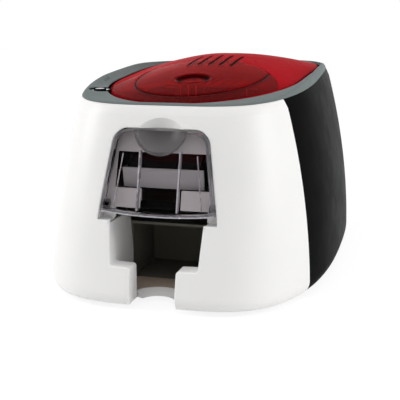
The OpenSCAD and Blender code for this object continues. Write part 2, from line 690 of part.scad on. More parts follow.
// Rollers: a shaft with its rubber, and a clip groove at the left end
rubber_half = 29;
shaft_left = frame_x + frame_t + 2.6;
shaft_right = gear_x + gear_w + 2;
module roller(p, d, shaft, right, cuts) {
  color(steel) at_x(p, -shaft_left) cylinder(h = shaft_left + right, d = shaft, $fn = 40);
  color(steel) at_x(p, -shaft_left + 0.4) cylinder(h = 0.8, d = shaft + 2.4, $fn = 40);
  color(black) difference() {
    at_x(p, -rubber_half) cylinder(h = 2 * rubber_half, d = d, $fn = 64);
    for (x = cuts) at_x(p, x - 4) difference() {
      cylinder(h = 8, d = d + 2, $fn = 64);
      cylinder(h = 8, d = d - 3, $fn = 64);
    }
  }
}
module platen_roller() roller(platen_pos, platen_d, shaft_d, shaft_right, []);
module front_feed_roller() roller(front_pos, feed_d, shaft_d, shaft_right, [-10, 10]);
module rear_feed_roller() roller(rear_pos, feed_d, shaft_d, shaft_right, [-10, 10]);
module pick_roller() color(black) {
  at_x(pick_pos, -15) cylinder(h = 30, d = pick_d, $fn = 64);
  at_x(pick_pos, -shaft_left) cylinder(h = shaft_left + shaft_right, d = shaft_d, $fn = 40);
  at_x(pick_pos, -shaft_left + 0.4) cylinder(h = 0.8, d = shaft_d + 2.4, $fn = 40);
}
module thin_roller(p, d, cuts) roller(p, d, thin_d, shaft_left, cuts);
module cleaning_roller() thin_roller(clean_pos, clean_d, []);
module front_pinch_roller() thin_roller(front_pinch_pos, pinch_d, [-10, 10]);
module rear_pinch_roller() thin_roller(rear_pinch_pos, pinch_d, [-10, 10]);

// Flanged bushes in the frames
function bush_d(shaft) = shaft + 2 * bush_wall + 2.4;
module bush(p, shaft) difference() {
  union() {
    cylinder(h = frame_t + flange + 0.8, d = shaft + 2 * bush_wall, $fn = 40);
    cylinder(h = flange, d = bush_d(shaft), $fn = 40);
  }
  translate([0, 0, -1]) cylinder(h = frame_t + flange + 3, d = shaft + 2 * bush_gap, $fn = 40);
}
module shaft_bushes() color(dark) for (side = [0, 1]) mirror([side, 0, 0]) {
  for (p = drive_shafts) at_x(p, frame_x - flange) bush(p, shaft_d);
  for (p = thin_shafts) at_x(p, frame_x - flange) bush(p, thin_d);
}

// Side frames with the lugs of the lid's hinge
hinge_y = 134.5;
hinge_z = top_z(139) - 6.2;
hinge_d = 4;
lug_r = 3.2;
rods = [[124, 16], [124, 100], [-68, 15], [70, 24]];
rod_d = 8;
frame_lip = 9;
saddle_z = 100;
module frame_side() difference() {
  union() {
    rotate([90, 0, 90]) linear_extrude(frame_t) difference() {
      polygon([[-148, base_top], [132, base_top], [132, 118], [hinge_y + lug_r, hinge_z - 6],
        [hinge_y + lug_r, hinge_z], [hinge_y - lug_r, hinge_z], [hinge_y - 12, hinge_z - 14],
        [104, 118], [92, saddle_z], [-88, saddle_z], [-98, 90], [-148, 90]]);
      for (c = [[-118, 30, 13], [60, 66, 17], [98, 62, 13], [98, 28, 10], [15, 30, 13]])
        translate([c[0], c[1]]) circle(r = c[2], $fn = 48);
      polygon([[-142, 55], [-112, 55], [-112, 64], [-142, 64]]);
    }
    translate([0, hinge_y, hinge_z]) rotate([0, 90, 0])
      cylinder(h = frame_t, r = lug_r, $fn = 48);
    for (y = [-143, 90]) translate([0, y, base_top]) cube([frame_lip, 36, frame_t]);
  }
  for (p = drive_shafts) at_x(p, -1) cylinder(h = 6, d = shaft_d + 2 * bush_wall, $fn = 40);
  for (p = thin_shafts) at_x(p, -1) cylinder(h = 6, d = thin_d + 2 * bush_wall, $fn = 40);
  at_x([hinge_y, hinge_z], -1) cylinder(h = 6, d = hinge_d, $fn = 40);
  for (y = screw_y) translate([screw_x - frame_x, y, base_top - 1])
    cylinder(h = 6, d = screw_d, $fn = 24);
}
screw_d = 3;
screw_x = frame_x + frame_t + 3.8;
screw_y = [-135, -115, 98, 118];
motor_boss = 9;
module left_side_frame() color(steel) mirror([1, 0, 0]) translate([frame_x, 0, 0]) frame_side();
module right_side_frame() color(steel) {
  difference() {
    translate([frame_x, 0, 0]) frame_side();
    at_x(motor_pos, frame_x - 1) cylinder(h = 4, d = motor_boss, $fn = 40);
  }
  for (p = [middle_pos, rear_idler_pos, pick_idler_pos]) {
    at_x(p, frame_x + frame_t - 0.5) cylinder(h = gear_x + gear_w + 2.4 - frame_x - frame_t,
      d = stud_d, $fn = 40);
    at_x(p, gear_x + gear_w + 1.2) cylinder(h = 0.8, d = stud_d + 2.4, $fn = 40);
  }
}
module frame_screws() color(steel) for (sx = [-1, 1]) for (y = screw_y)
  translate([sx * screw_x, y, 0]) {
    translate([0, 0, foot_h + 0.2]) cylinder(h = base_t + frame_t - 0.1, d = screw_d, $fn = 24);
    translate([0, 0, base_top + frame_t]) difference() {
      cylinder(h = 2, d = 6, $fn = 40);
      translate([-2.4, -0.4, 1.1]) cube([4.8, 0.8, 2]);
    }
  }
module tie_rods() color(steel) for (p = rods)
  at_x(p, -frame_x) cylinder(h = frame_gap, d = rod_d, $fn = 40);

// Card guide between the frames, with the chute down to the tray
guide_t = 2;
guide_y0 = -78;
guide_y1 = 112;
exit_y0 = -63;
exit_y1 = -46;
module card_guide() color(black) difference() {
  union() {
    translate([-frame_x, guide_y0, path_z - guide_t]) cube([frame_gap, guide_y1 - guide_y0, guide_t]);
    translate([-29, 0, 0]) rotate([90, 0, 90]) linear_extrude(58)
      polygon([[exit_y1, path_z], [exit_y1 + 4, path_z], [exit_y1 + 4, path_z - guide_t],
        [bin_y1 + tray_t + 0.4, bin_ceiling - 3.4], [bin_y1 + tray_t + 0.4, bin_ceiling - 1.2]]);
  }
  for (p = [[front_pos, feed_d], [rear_pos, feed_d], [platen_pos, platen_d]])
    translate([-rubber_half - 1, p[0][0] - p[1] / 2 - 0.8, path_z - guide_t - 1])
      cube([2 * rubber_half + 2, p[1] + 1.6, guide_t + 2]);
  translate([-rubber_half - 1, exit_y0, path_z - guide_t - 0.01])
    cube([2 * rubber_half + 2, exit_y1 - exit_y0, guide_t + 1]);
  for (p = drive_shafts) for (x = [-frame_x - 1, frame_x - flange - seam])
    at_x(p, x) cylinder(h = flange + seam + 1, d = bush_d(shaft_d) + 2 * seam, $fn = 48);
}

// Drive motor inside the right frame
motor_d = 30;
motor_l = 32;
motor_shaft = 3;
module drive_motor() color(steel) difference() {
  union() {
    at_x(motor_pos, frame_x - motor_l) cylinder(h = motor_l, d = motor_d, $fn = 64);
    at_x(motor_pos, frame_x - 1) cylinder(h = frame_t + 1.4, d = motor_boss - 0.1, $fn = 40);
    at_x(motor_pos, frame_x - motor_l - 2) cylinder(h = 3, d = 12, $fn = 40);
  }
  at_x(motor_pos, frame_x - 10) cylinder(h = 20, d = motor_shaft + 2 * bush_gap, $fn = 32);
}
module motor_pinion() color(steel) {
  gear(motor_pos, pinion_n, pinion_phi, 1, 4);
  at_x(motor_pos, frame_x - 9.8) cylinder(h = gear_x + gear_w + 9.8 - frame_x, d = motor_shaft,
    $fn = 32);
}

// Ribbon cassette, hung in the side frames, with its two spools and the film
supply_pos = [-58, 112];
takeup_pos = [38, 112];
cassette_x = 34;
cassette_t = 1.6;
hub_d = 10;
core_d = 20;
supply_d = 32;
takeup_d = 26;
film_w = 56;
module ribbon_cassette() color(dark) {
  for (side = [0, 1]) mirror([side, 0, 0]) {
    difference() {
      union() {
        translate([cassette_x, 0, 0]) rotate([90, 0, 90]) linear_extrude(cassette_t)
          polygon([[-77, 97], [-70, 92], [-48, 92], [-40, 100], [-34, 104], [16, 104],
            [22, 98], [48, 98], [54, 104], [54, 122], [48, 128], [28, 128], [18, 120],
            [-38, 120], [-46, 131], [-70, 131], [-77, 124]]);
        translate([cassette_x, -76, saddle_z]) cube([frame_x + frame_t - cassette_x, 128, cassette_t]);
      }
      for (p = [supply_pos, takeup_pos]) at_x(p, cassette_x - 1)
        cylinder(h = cassette_t + 2, d = hub_d + 2 * bush_gap, $fn = 48);
      for (p = [supply_pos, takeup_pos]) translate([cassette_x + cassette_t, p[0] - 6, 90])
        cube([3, 12, 22]);
    }
  }
  for (y = [-79, 54]) translate([-cassette_x - cassette_t, y, 108])
    cube([2 * (cassette_x + cassette_t), 2.4, 10]);
}
module spool(p, d, tint) {
  color(white) at_x(p, -film_w / 2 - 1.5) cylinder(h = film_w + 3, d = core_d, $fn = 48);
  color(white) for (x = [-film_w / 2 - 3.5, film_w / 2 + 1.5]) at_x(p, x)
    cylinder(h = 2, d = core_d + 6, $fn = 48);
  color(white) at_x(p, -cassette_x - 7) cylinder(h = 2 * cassette_x + 14, d = hub_d, $fn = 48);
  color(tint) at_x(p, -film_w / 2) cylinder(h = film_w, d = d, $fn = 64);
}
module ribbon_supply_spool() spool(supply_pos, supply_d, "#2b2b2e");
module ribbon_takeup_spool() spool(takeup_pos, takeup_d, "#2b2b2e");
film_z = path_z + 0.95;
film_t = 0.3;
module ribbon_film() color("#2b2b2e") translate([-film_w / 2, 0, 0]) rotate([90, 0, 90])
  linear_extrude(film_w) polygon([
    supply_pos + (supply_d / 2 + 0.15) * [cos(-45), sin(-45)], [-16.2, film_z],
    [-3.8, film_z], takeup_pos + (takeup_d / 2 + 0.15) * [cos(225), sin(225)],
    takeup_pos + (takeup_d / 2 + 0.15) * [cos(225), sin(225)] + [-0.3, 0.3],
    [-3.9, film_z + film_t], [-16.1, film_z + film_t],
    supply_pos + (supply_d / 2 + 0.15) * [cos(-45), sin(-45)] + [0.3, 0.3]]);

// Lid: domed tinted shell with ventilation slots and a dimple
lid_cy = 28;
lid_rise = 0.9;
lid_n = 60;
vent_n = 5;
vent_pitch = 9.2;
vent_w = 3;
vent_y0 = -40;
dimple = [0, -76.8];
dimple_r = 14;
dimple_depth = 1.2;
dimple_ball = (dimple_r * dimple_r + dimple_depth * dimple_depth) / (2 * dimple_depth);
function lid_xy(a, r, g = 0) = let (p = lid_pt(a, g)) [p[0] * r, lid_cy + (p[1] - lid_cy) * r];
function lid_h(r) = lid_dome * (1 - pow(r, 1.55));
function lid_at(a, r, drop) = let (p = lid_xy(a, r))
  [p[0], p[1], top_z(p[1]) + lid_rise + lid_h(r) - drop];
lid_rings = [0.99, 0.96, 0.9, 0.82, 0.72, 0.6, 0.46, 0.3, 0.15];
// Height of the lid's underside at a distance g inside its rim
function under_z(a, g) = top_z(lid_pt(a, -g)[1]) + lid_rise - lid_t
  + lid_h(1 - g / norm(lid_pt(a, 0) - [0, lid_cy]));
// Lower edge of the lid's rim, raised at the back where it swings over the bezel
function skirt_low(a, y) = top_z(y) - ledge_z + seam + 1.5 * ease(3 * (sin(a) - 0.25));
function lid_loop(a) = concat(
  [let (p = lid_pt(a, 0)) [p[0], p[1], top_z(p[1]) + lid_rise - 1.5]],
  [for (r = lid_rings) lid_at(a, r, 0)]);
module lid_cover() color(red) difference() {
  lid_skin();
  for (i = [0:vent_n - 1]) translate([(i - (vent_n - 1) / 2) * vent_pitch - vent_w / 2, vent_y0, 140])
    cube([vent_w, vent_l, 40]);
  translate([dimple[0], dimple[1], lid_top(dimple[1]) + dimple_ball - dimple_depth])
    sphere(r = dimple_ball, $fn = 96);
}
// Height of the lid's top on its middle line
function lid_top(y) = top_z(y) + lid_rise
  + lid_h((lid_cy - y) / (lid_cy - lid_y + lid_front_l));
module lid_skin() {
  outer = [for (i = [0:lid_n - 1]) lid_loop(360 * i / lid_n)];
  inner = [for (i = [0:lid_n - 1]) let (a = 360 * i / lid_n)
    concat([for (k = [len(lid_rings) - 1:-1:1]) lid_at(a, lid_rings[k], lid_t)],
      [let (p = lid_pt(a, -lid_t)) [p[0], p[1], under_z(a, lid_t)],
       let (p = lid_pt(a, -lid_t)) [p[0], p[1], skirt_low(a, p[1])],
       let (p = lid_pt(a, 0)) [p[0], p[1], skirt_low(a, p[1])]])];
  m = len(outer[0]) + len(inner[0]);
  top_c = [0, lid_cy, top_z(lid_cy) + lid_rise + lid_dome];
  low_c = top_c - [0, 0, lid_t];
  k = len(outer[0]);
  points = concat([for (i = [0:lid_n - 1]) each concat(outer[i], inner[i])], [top_c, low_c]);
  c1 = lid_n * m;
  faces = [for (i = [0:lid_n - 1]) let (b = i * m, d = ((i + 1) % lid_n) * m) each concat(
    [for (j = [0:k - 2]) each [[b + j, b + j + 1, d + j + 1], [b + j, d + j + 1, d + j]]],
    [for (j = [k:m - 2]) each [[b + j, b + j + 1, d + j + 1], [b + j, d + j + 1, d + j]]],
    [[b + m - 1, b, d], [b + m - 1, d, d + m - 1]],
    [[b + k - 1, c1, d + k - 1], [c1 + 1, b + k, d + k]])];
  polyhedron(points, faces, convexity = 8);
}

// Liner under the lid: a wall along the rim and a flat plate with a window and the hinge
plate_t = 2.5;
plate_in = 5;
liner_t = 2.2;
window_a = 50;
window_b = 65;
window_y = -61.8;
window_cut = -28;
plate_y0 = lid_y - lid_front_l;
plate_y1 = lid_y + lid_rear_l;
plate_z0 = top_z(plate_y0) - ledge_z - 1.4;
plate_slope = (top_z(plate_y1) - top_z(plate_y0)) / (plate_y1 - plate_y0);
function plate_z(y) = plate_z0 + plate_slope * (y - plate_y0);
function liner_loop(a) = let (
  out = lid_pt(a, -plate_in),
  inn = lid_pt(a, -plate_in - liner_t),
  win = [window_a * cos(a), min(window_cut, window_y + window_b * sin(a))],
  hi = under_z(a, plate_in) - seam)
  [[out[0], out[1], plate_z(out[1])], [out[0], out[1], hi], [inn[0], inn[1], hi],
    [inn[0], inn[1], plate_z(inn[1]) + plate_t], [win[0], win[1], plate_z(win[1]) + plate_t],
    [win[0], win[1], plate_z(win[1])]];
knuckle_x = 36;
knuckle_l = 7;
knuckle_r = 3.4;
module lid_frame() color(red) difference() {
  union() {
    sweep([for (i = [0:lid_n - 1]) liner_loop(360 * i / lid_n)], ring = true);
    for (side = [0, 1]) mirror([side, 0, 0]) {
      at_x([hinge_y, hinge_z], knuckle_x) cylinder(h = knuckle_l, r = knuckle_r, $fn = 40);
      translate([knuckle_x, 0, 0]) rotate([90, 0, 90]) linear_extrude(knuckle_l)
        polygon([[hinge_y - 16, plate_z(hinge_y - 16) + 1], [hinge_y - 4, hinge_z],
          [hinge_y + 3, hinge_z], [hinge_y - 1, plate_z(hinge_y - 1) + 1]]);
    }
  }
  at_x([hinge_y, hinge_z], -60) cylinder(h = 120, d = hinge_d + 2 * bush_gap, $fn = 40);
  // Slots for the lugs of the side frames
  for (side = [0, 1]) mirror([side, 0, 0])
    translate([frame_x - 0.6, hinge_y - 9, hinge_z - 8]) cube([frame_t + 3, 20, 14]);
  for (i = [0:vent_n - 1]) translate([(i - (vent_n - 1) / 2) * vent_pitch - vent_w / 2 - 0.5,
    window_cut + 4, 130]) cube([vent_w + 1, 44, 40]);
}
module lid_hinge_rod() color(steel) {
  at_x([hinge_y, hinge_z], -frame_x - frame_t - 1)
    cylinder(h = 2 * (frame_x + frame_t + 1), d = hinge_d, $fn = 40);
  for (x = [-frame_x - frame_t - 1.8, frame_x + frame_t + 0.4])
    at_x([hinge_y, hinge_z], x) cylinder(h = 1.4, d = hinge_d + 2.4, $fn = 40);
}

// Bracket that hangs from the lid and carries the print head
bracket_x = 30.5;
bracket_t = 2;
head_y = -10;
head_t = 10;
head_top = 92;
head_bottom = path_z + 1.5;
head_travel = 1.5;
bar_z = 100;
pin_x = 18;
pin_d = 4;
module head_bracket() color(steel) difference() {
  union() {
    for (side = [0, 1]) mirror([side, 0, 0]) {
      translate([bracket_x, 0, 0]) rotate([90, 0, 90]) linear_extrude(bracket_t)
        polygon([[-24, plate_z(-24)], [-24, 130], [-18, 112], [-18, 80], [-2, 80], [-2, 112],
          [6, 130], [6, plate_z(6)]]);
      translate([bracket_x, 0, 0]) rotate([90, 0, 90]) linear_extrude(10)
        polygon([[-24, plate_z(-24)], [-24, plate_z(-24) - 2], [6, plate_z(6) - 2], [6, plate_z(6)]]);
    }
    translate([-bracket_x - 0.5, head_y - 6, bar_z]) cube([2 * bracket_x + 1, 12, 3]);
    for (x = [-pin_x, pin_x]) translate([x, head_y, head_top - 8])
      cylinder(h = bar_z - head_top + 9, d = pin_d, $fn = 40);
  }
}
module print_head() color(black) difference() {
  union() {
    translate([-rubber_half, head_y - head_t / 2, head_bottom + 2])
      cube([2 * rubber_half, head_t, head_top - head_bottom - 2]);
    translate([-rubber_half, 0, 0]) rotate([90, 0, 90]) linear_extrude(2 * rubber_half)
      polygon([[head_y - 3, head_bottom], [head_y + 3, head_bottom], [head_y + 5, head_bottom + 2.5],
        [head_y - 5, head_bottom + 2.5]]);
  }
  for (x = [-pin_x, pin_x]) translate([x, head_y, head_top - 8 - head_travel - 0.5])
    cylinder(h = 20, d = pin_d + 2 * bush_gap, $fn = 40);
  for (i = [-3:3]) translate([i * 8 - 1, head_y - head_t, head_bottom + 6]) cube([2, 5.5 + head_t / 2, 9]);
}
module head_springs() color(steel) for (x = [-pin_x, pin_x])
  translate([x, head_y, head_top]) difference() {
    cylinder(h = bar_z - head_top, d = pin_d + 3, $fn = 32);
    translate([0, 0, -1]) cylinder(h = 20, d = pin_d + 1, $fn = 32);
  }

// Power button in its chromed cup, and the indicator lights
button_rise = 2.2;
button_z = top_z(button_y) + button_rise;
cup_h = 9;
cup_floor = 1.5;
button_l = 5;
module button_cup() color(steel) difference() {
  union() {
    translate([button_x, button_y, button_z - cup_h]) cylinder(h = cup_h, d = button_hole - 0.1, $fn = 64);
  }
  translate([button_x, button_y, button_z - cup_h + cup_floor])
    cylinder(h = cup_h, d = button_d + 0.16, $fn = 64);
  translate([button_x, button_y, button_z - 1]) cylinder(h = 1.01, d1 = button_d, d2 = button_d + 2.4, $fn = 64);
}
module power_button() color(dark) difference() {
  translate([button_x, button_y, button_z + 0.6 - button_l]) cylinder(h = button_l, d = button_d, $fn = 64);
  translate([button_x, button_y, button_z + 0.6 + 9]) sphere(r = 9.6, $fn = 48);
}
spring_z0 = button_z - cup_h + cup_floor;
spring_z1 = button_z + 0.6 - button_l;
module button_spring() color(steel) translate([button_x, button_y, spring_z0]) difference() {
  cylinder(h = spring_z1 - spring_z0, d = 6, $fn = 32);
  translate([0, 0, -1]) cylinder(h = 20, d = 4.4, $fn = 32);
}
light_rise = 2.6;
module indicator_lights() color(steel) for (i = [0:light_n - 1]) let (p = light_pos(i))
  translate([p[0], p[1], top_z(p[1]) + light_rise - 5]) cylinder(h = 5, d = light_d, $fn = 24);

// Circuit board on stand-offs, with the power and data sockets at the back
board = [-96, -24, -18, 176];
board_z = 13;
board_t = 1.6;
function back_y(x, z) = mid_y(z) + half_l(z) * pow(1 - pow(abs(x) / half_w(z), plan_nx), 1 / plan_ny);
module main_board() color("#2c5f43") difference() {
  union() {
    translate([-98, -20, board_z]) cube([48, 120, board_t]);
    translate([-66, 99, board_z]) cube([18, 52, board_t]);
    translate([-60, 136, board_z]) cube([42, 32, board_t]);
    for (p = [[-92, -14], [-56, -14], [-92, 92], [-55, 162], [-24, 162]])
      translate([p[0], p[1], base_top]) cylinder(h = board_z - base_top, d = 6, $fn = 32);
    translate([-88, 10, board_z + board_t]) cube([20, 20, 2]);
    translate([-84, 50, board_z + board_t]) cube([14, 14, 2]);
    translate([-66, 64, board_z + board_t]) cube([10, 24, 8]);
    for (y = [50, 64]) translate([-58, y - 14, board_z + board_t]) cylinder(h = 16, d = 10, $fn = 32);
  }
}
socket_zc = foot_h + socket_z;
module power_socket() color(black) difference() {
  y1 = back_y(socket_x, socket_zc);
  union() {
    translate([socket_x - 7, y1 - 22, board_z + board_t]) cube([14, 14, 17]);
    translate([socket_x, y1 - 8.5, socket_zc]) rotate([-90, 0, 0])
      cylinder(h = 7.9, d = socket_bore + 2 * socket_rim, $fn = 48);
  }
  translate([socket_x, y1 - 12, socket_zc]) rotate([-90, 0, 0])
    cylinder(h = 14, d = socket_bore, $fn = 48);
}
module usb_socket() color(steel) difference() {
  y1 = back_y(usb_x, socket_zc);
  union() {
    translate([usb_x - 6, y1 - 20, board_z + board_t])
      cube([12, 14, socket_zc + 5.2 - board_z - board_t]);
    translate([usb_x - 6, y1 - 7, socket_zc - 5.2]) cube([12, 6.4, 10.4]);
  }
  translate([usb_x - 4.2, y1 - 12, socket_zc - 3.6]) cube([8.4, 14, 7.6]);
}

front_shell();
rear_shell();
top_bezel();
base_plate();
rubber_feet();
output_tray();
tray_bin();
card_hopper();
hopper_presser();
feeder_cover();
cover_pivots();
left_side_frame();
right_side_frame();
tie_rods();
card_guide();
shaft_bushes();
lid_cover();
lid_frame();
lid_hinge_rod();
head_bracket();
print_head();
head_springs();
platen_roller();
platen_gear();
front_feed_roller();
front_feed_gear();
rear_feed_roller();
rear_feed_gear();
pick_roller();
pick_gear();
cleaning_roller();
front_pinch_roller();
rear_pinch_roller();
drive_motor();
motor_pinion();
middle_idler_gear();
rear_idler_gear();
pick_idler_gear();
ribbon_cassette();
ribbon_supply_spool();
ribbon_takeup_spool();
ribbon_film();
power_button();
button_cup();
button_spring();
indicator_lights();
main_board();
power_socket();
usb_socket();
frame_screws();
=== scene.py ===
import math

import bpy
import numpy as np
from bpy.props import FloatProperty, FloatVectorProperty, IntProperty, PointerProperty
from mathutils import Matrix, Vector


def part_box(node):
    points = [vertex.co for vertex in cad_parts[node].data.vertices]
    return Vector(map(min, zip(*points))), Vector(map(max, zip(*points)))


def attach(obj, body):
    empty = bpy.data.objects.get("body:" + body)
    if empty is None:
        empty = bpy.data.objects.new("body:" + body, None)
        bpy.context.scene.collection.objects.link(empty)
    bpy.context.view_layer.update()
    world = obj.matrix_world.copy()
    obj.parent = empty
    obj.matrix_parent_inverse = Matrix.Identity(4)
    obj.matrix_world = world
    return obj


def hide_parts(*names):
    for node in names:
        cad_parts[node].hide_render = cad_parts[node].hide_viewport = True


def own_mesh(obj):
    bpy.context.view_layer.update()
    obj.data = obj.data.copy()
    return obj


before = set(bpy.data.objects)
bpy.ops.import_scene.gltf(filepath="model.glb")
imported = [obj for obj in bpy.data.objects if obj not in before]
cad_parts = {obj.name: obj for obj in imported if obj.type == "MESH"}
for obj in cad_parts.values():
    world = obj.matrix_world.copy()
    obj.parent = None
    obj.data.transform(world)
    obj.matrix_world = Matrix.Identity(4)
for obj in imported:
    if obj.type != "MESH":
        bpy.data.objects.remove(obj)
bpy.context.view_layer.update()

bl_info = {
    "name": "Card printer",
    "version": (1, 0, 0),
    "blender": (4, 5, 0),
    "location": "View3D > Sidebar > Card printer",
    "description": "Dresses the packed card printer in its shells, lid, cover and finishes",
    "category": "Object",
}

MM = 0.001

# Housing, in millimetres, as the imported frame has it
BODY_W = 226.0
BODY_L = 378.0
FRONT_H = 137.5
FOOT_H = 4.0
REF_H = 150.0
SIDE_LEAN = 21.8
FRONT_LEAN = 0.228
FRONT_BOW = 2.5
REAR_LEAN = 0.2
TOP_SLOPE = 0.08
TOP_BEND = 150.0
TOP_ROUND = 0.00025
TUCK_R = 9.0
TUCK_SHARE = 0.6
PLAN_NX = 4.0
PLAN_NY = 2.6
PARTING_Y = 65.2
PART_LEAN = 0.054
CREST_H = 4.3
SKIRT_Z = 5.0
LEDGE_W = 3.0
LEDGE_Z = 3.0
SKIN_INSET = 0.16  # draws the shells in, so that the dressed part stays in the frame's box


def xyz(x, y, z):
    """Points from three coordinates that broadcast together."""
    return np.stack(np.broadcast_arrays(x, y, z), -1)


def circle(count):
    """Evenly spaced angles of one full turn."""
    return np.linspace(0, 2 * math.pi, count, endpoint=False)


def spow(v, n):
    return np.sign(v) * np.abs(v) ** n


def ease(v):
    c = np.clip(v, 0.0, 1.0)
    return c * c * (3 - 2 * c)


def over_foot(z):
    return z - FOOT_H


def half_w(z):
    return BODY_W / 2 - SIDE_LEAN * (over_foot(z) / REF_H) ** 2


def y_front(z):
    return -BODY_L / 2 + FRONT_LEAN * over_foot(z) + FRONT_BOW * (over_foot(z) / REF_H) ** 6


def y_back(z):
    return BODY_L / 2 - REAR_LEAN * over_foot(z)


def tuck(z):
    h = np.clip(over_foot(z) / TUCK_R, 0.0, 1.0)
    return TUCK_SHARE * TUCK_R * (1 - np.sqrt(1 - (1 - h) ** 2))


def mid_y(z):
    return (y_front(z) + y_back(z)) / 2


def half_l(z):
    return (y_back(z) - y_front(z)) / 2


def plan_x(a, z, inset):
    return (half_w(z) - inset - tuck(z)) * spow(np.cos(a), 2 / PLAN_NX)


def plan_y(a, z, inset):
    return mid_y(z) + (half_l(z) - inset - tuck(z)) * spow(np.sin(a), 2 / PLAN_NY)


def face_y(x, z, inset=0.0):
    """Front surface of the housing at a given x and height."""
    side = np.abs(x) / (half_w(z) - inset)
    return mid_y(z) - (half_l(z) - inset - tuck(z)) * (1 - side ** PLAN_NX) ** (1 / PLAN_NY)


EDGE_Y = float(y_front(FOOT_H + FRONT_H))


def top_z(y):
    bend = np.maximum(0.0, y - EDGE_Y - TOP_BEND)
    return FOOT_H + FRONT_H + TOP_SLOPE * (y - EDGE_Y) - TOP_ROUND * bend ** 2


def part_a(z, inset):
    part_y = -BODY_L / 2 + PARTING_Y + PART_LEAN * over_foot(z)
    return -np.arcsin(((mid_y(z) - part_y) / (half_l(z) - inset - tuck(z))) ** (PLAN_NY / 2))


def angle_at(kind, u, z, inset):
    if kind == "front":
        return -math.pi / 2 + u * (math.pi / 2 + part_a(z, inset))
    if kind == "rear":
        return math.pi / 2 + u * (math.pi / 2 - part_a(z, inset))
    return 2 * math.pi * u


def skin(kind, u, s, inset, rise=0.0, dy=0.0):
    """Points of the housing: u runs round the part, s from the floor edge to the top plane."""
    z = FOOT_H + s * FRONT_H + rise
    for _ in range(3):
        edge = top_z(plan_y(angle_at(kind, u, z, inset), z, inset))
        z = FOOT_H + s * (edge - FOOT_H) + rise
    a = angle_at(kind, u, z, inset)
    return xyz(plan_x(a, z, inset), plan_y(a, z, inset) + dy, z)


# Mesh making

def add_object(name, data):
    obj = bpy.data.objects.new(name, data)
    bpy.context.scene.collection.objects.link(obj)
    return obj


def add_mesh(name, points, faces):
    mesh = bpy.data.meshes.new(name)
    mesh.from_pydata((np.asarray(points, float).reshape(-1, 3) * MM).tolist(), [], faces)
    mesh.validate()
    return add_object(name, mesh)


def sweep(name, loops, ring=False):
    """Closed solid through equal loops of points. A ring joins its last loop to its first."""
    n, m = loops.shape[:2]
    faces = []
    for i in range(n if ring else n - 1):
        a, b = i * m, ((i + 1) % n) * m
        faces += [(a + j, a + (j + 1) % m, b + (j + 1) % m, b + j) for j in range(m)]
    if not ring:
        faces += [tuple(range(m - 1, -1, -1)), tuple((n - 1) * m + j for j in range(m))]
    return outward(add_mesh(name, loops, faces))


def outward(obj):
    """Turns the faces of a closed mesh outwards."""
    co = np.empty(len(obj.data.vertices) * 3)
    obj.data.vertices.foreach_get("co", co)
    co = co.reshape(-1, 3)
    obj.data.calc_loop_triangles()
    tri = np.empty(len(obj.data.loop_triangles) * 3, np.int64)
    obj.data.loop_triangles.foreach_get("vertices", tri)
    a, b, c = co[tri.reshape(-1, 3)].transpose(1, 0, 2)
    if np.einsum("ij,ij->i", a, np.cross(b, c)).sum() < 0:
        obj.data.flip_normals()
    return obj


def combine(obj, tool, how="DIFFERENCE"):
    """Cuts, joins or intersects obj with tool, and removes tool."""
    mod = obj.modifiers.new("shape", "BOOLEAN")
    mod.operation = how
    mod.solver = "MANIFOLD"
    mod.object = tool
    graph = bpy.context.evaluated_depsgraph_get()
    mesh = bpy.data.meshes.new_from_object(obj.evaluated_get(graph))
    if not mesh.polygons:
        raise RuntimeError(f"{obj.name} has nothing left after {tool.name}")
    obj.modifiers.clear()
    old, obj.data = obj.data, mesh
    mesh.name = obj.name
    bpy.data.meshes.remove(old)
    bpy.data.objects.remove(tool)
    return obj


def prism(name, outline, y0, y1):
    """Front-view outline (x, height over the feet), extruded along y."""
    p = np.asarray(outline, float)
    return sweep(name, np.array([xyz(p[:, 0], y, p[:, 1] + FOOT_H) for y in (y0, y1)]))


def side_prism(name, outline, x0, x1):
    """Side-view outline (y, z), extruded along x."""
    p = np.asarray(outline, float)
    return sweep(name, np.array([xyz(x, p[:, 0], p[:, 1]) for x in (x0, x1)]))


def block(name, low, high):
    (x0, y0, z0), (x1, y1, z1) = low, high
    return side_prism(name, [(y0, z0), (y1, z0), (y1, z1), (y0, z1)], x0, x1)


def ball(name, centre, radius, count=96):
    rows = np.linspace(0, math.pi, count // 2 + 1)[1:-1]
    ring = circle(count)
    grid = np.stack([np.outer(np.sin(rows), np.cos(ring)), np.outer(np.sin(rows), np.sin(ring)),
                     np.outer(np.cos(rows), np.ones(count))], -1) * radius
    points = np.concatenate([grid.reshape(-1, 3), [[0, 0, radius], [0, 0, -radius]]]) + centre
    faces = []
    for i in range(len(rows) - 1):
        faces += [(i * count + j, (i + 1) * count + j, (i + 1) * count + (j + 1) % count,
                   i * count + (j + 1) % count) for j in range(count)]
    top, last = len(points) - 2, (len(rows) - 1) * count
    faces += [(top, j, (j + 1) % count) for j in range(count)]
    faces += [(top + 1, last + (j + 1) % count, last + j) for j in range(count)]
    return outward(add_mesh(name, points, faces))


def rod(name, centre, axis, radius, length, count=48):
    """Cylinder from centre along an axis: 0 is x, 1 is y and 2 is z."""
    a = circle(count)
    loops = np.zeros((2, count, 3))
    loops[:, :, (axis + 1) % 3] = radius * np.cos(a)
    loops[:, :, (axis + 2) % 3] = radius * np.sin(a)
    loops[1, :, axis] = length
    return sweep(name, loops + np.asarray(centre, float))


def lathe(name, centre, profile, count=72):
    """Turns a closed (radius, height) profile round a vertical line."""
    p = np.asarray(profile, float)
    a = circle(count)[:, None]
    loops = xyz(p[:, 0] * np.cos(a), p[:, 0] * np.sin(a), p[:, 1])
    return sweep(name, loops + np.asarray(centre, float), ring=True)


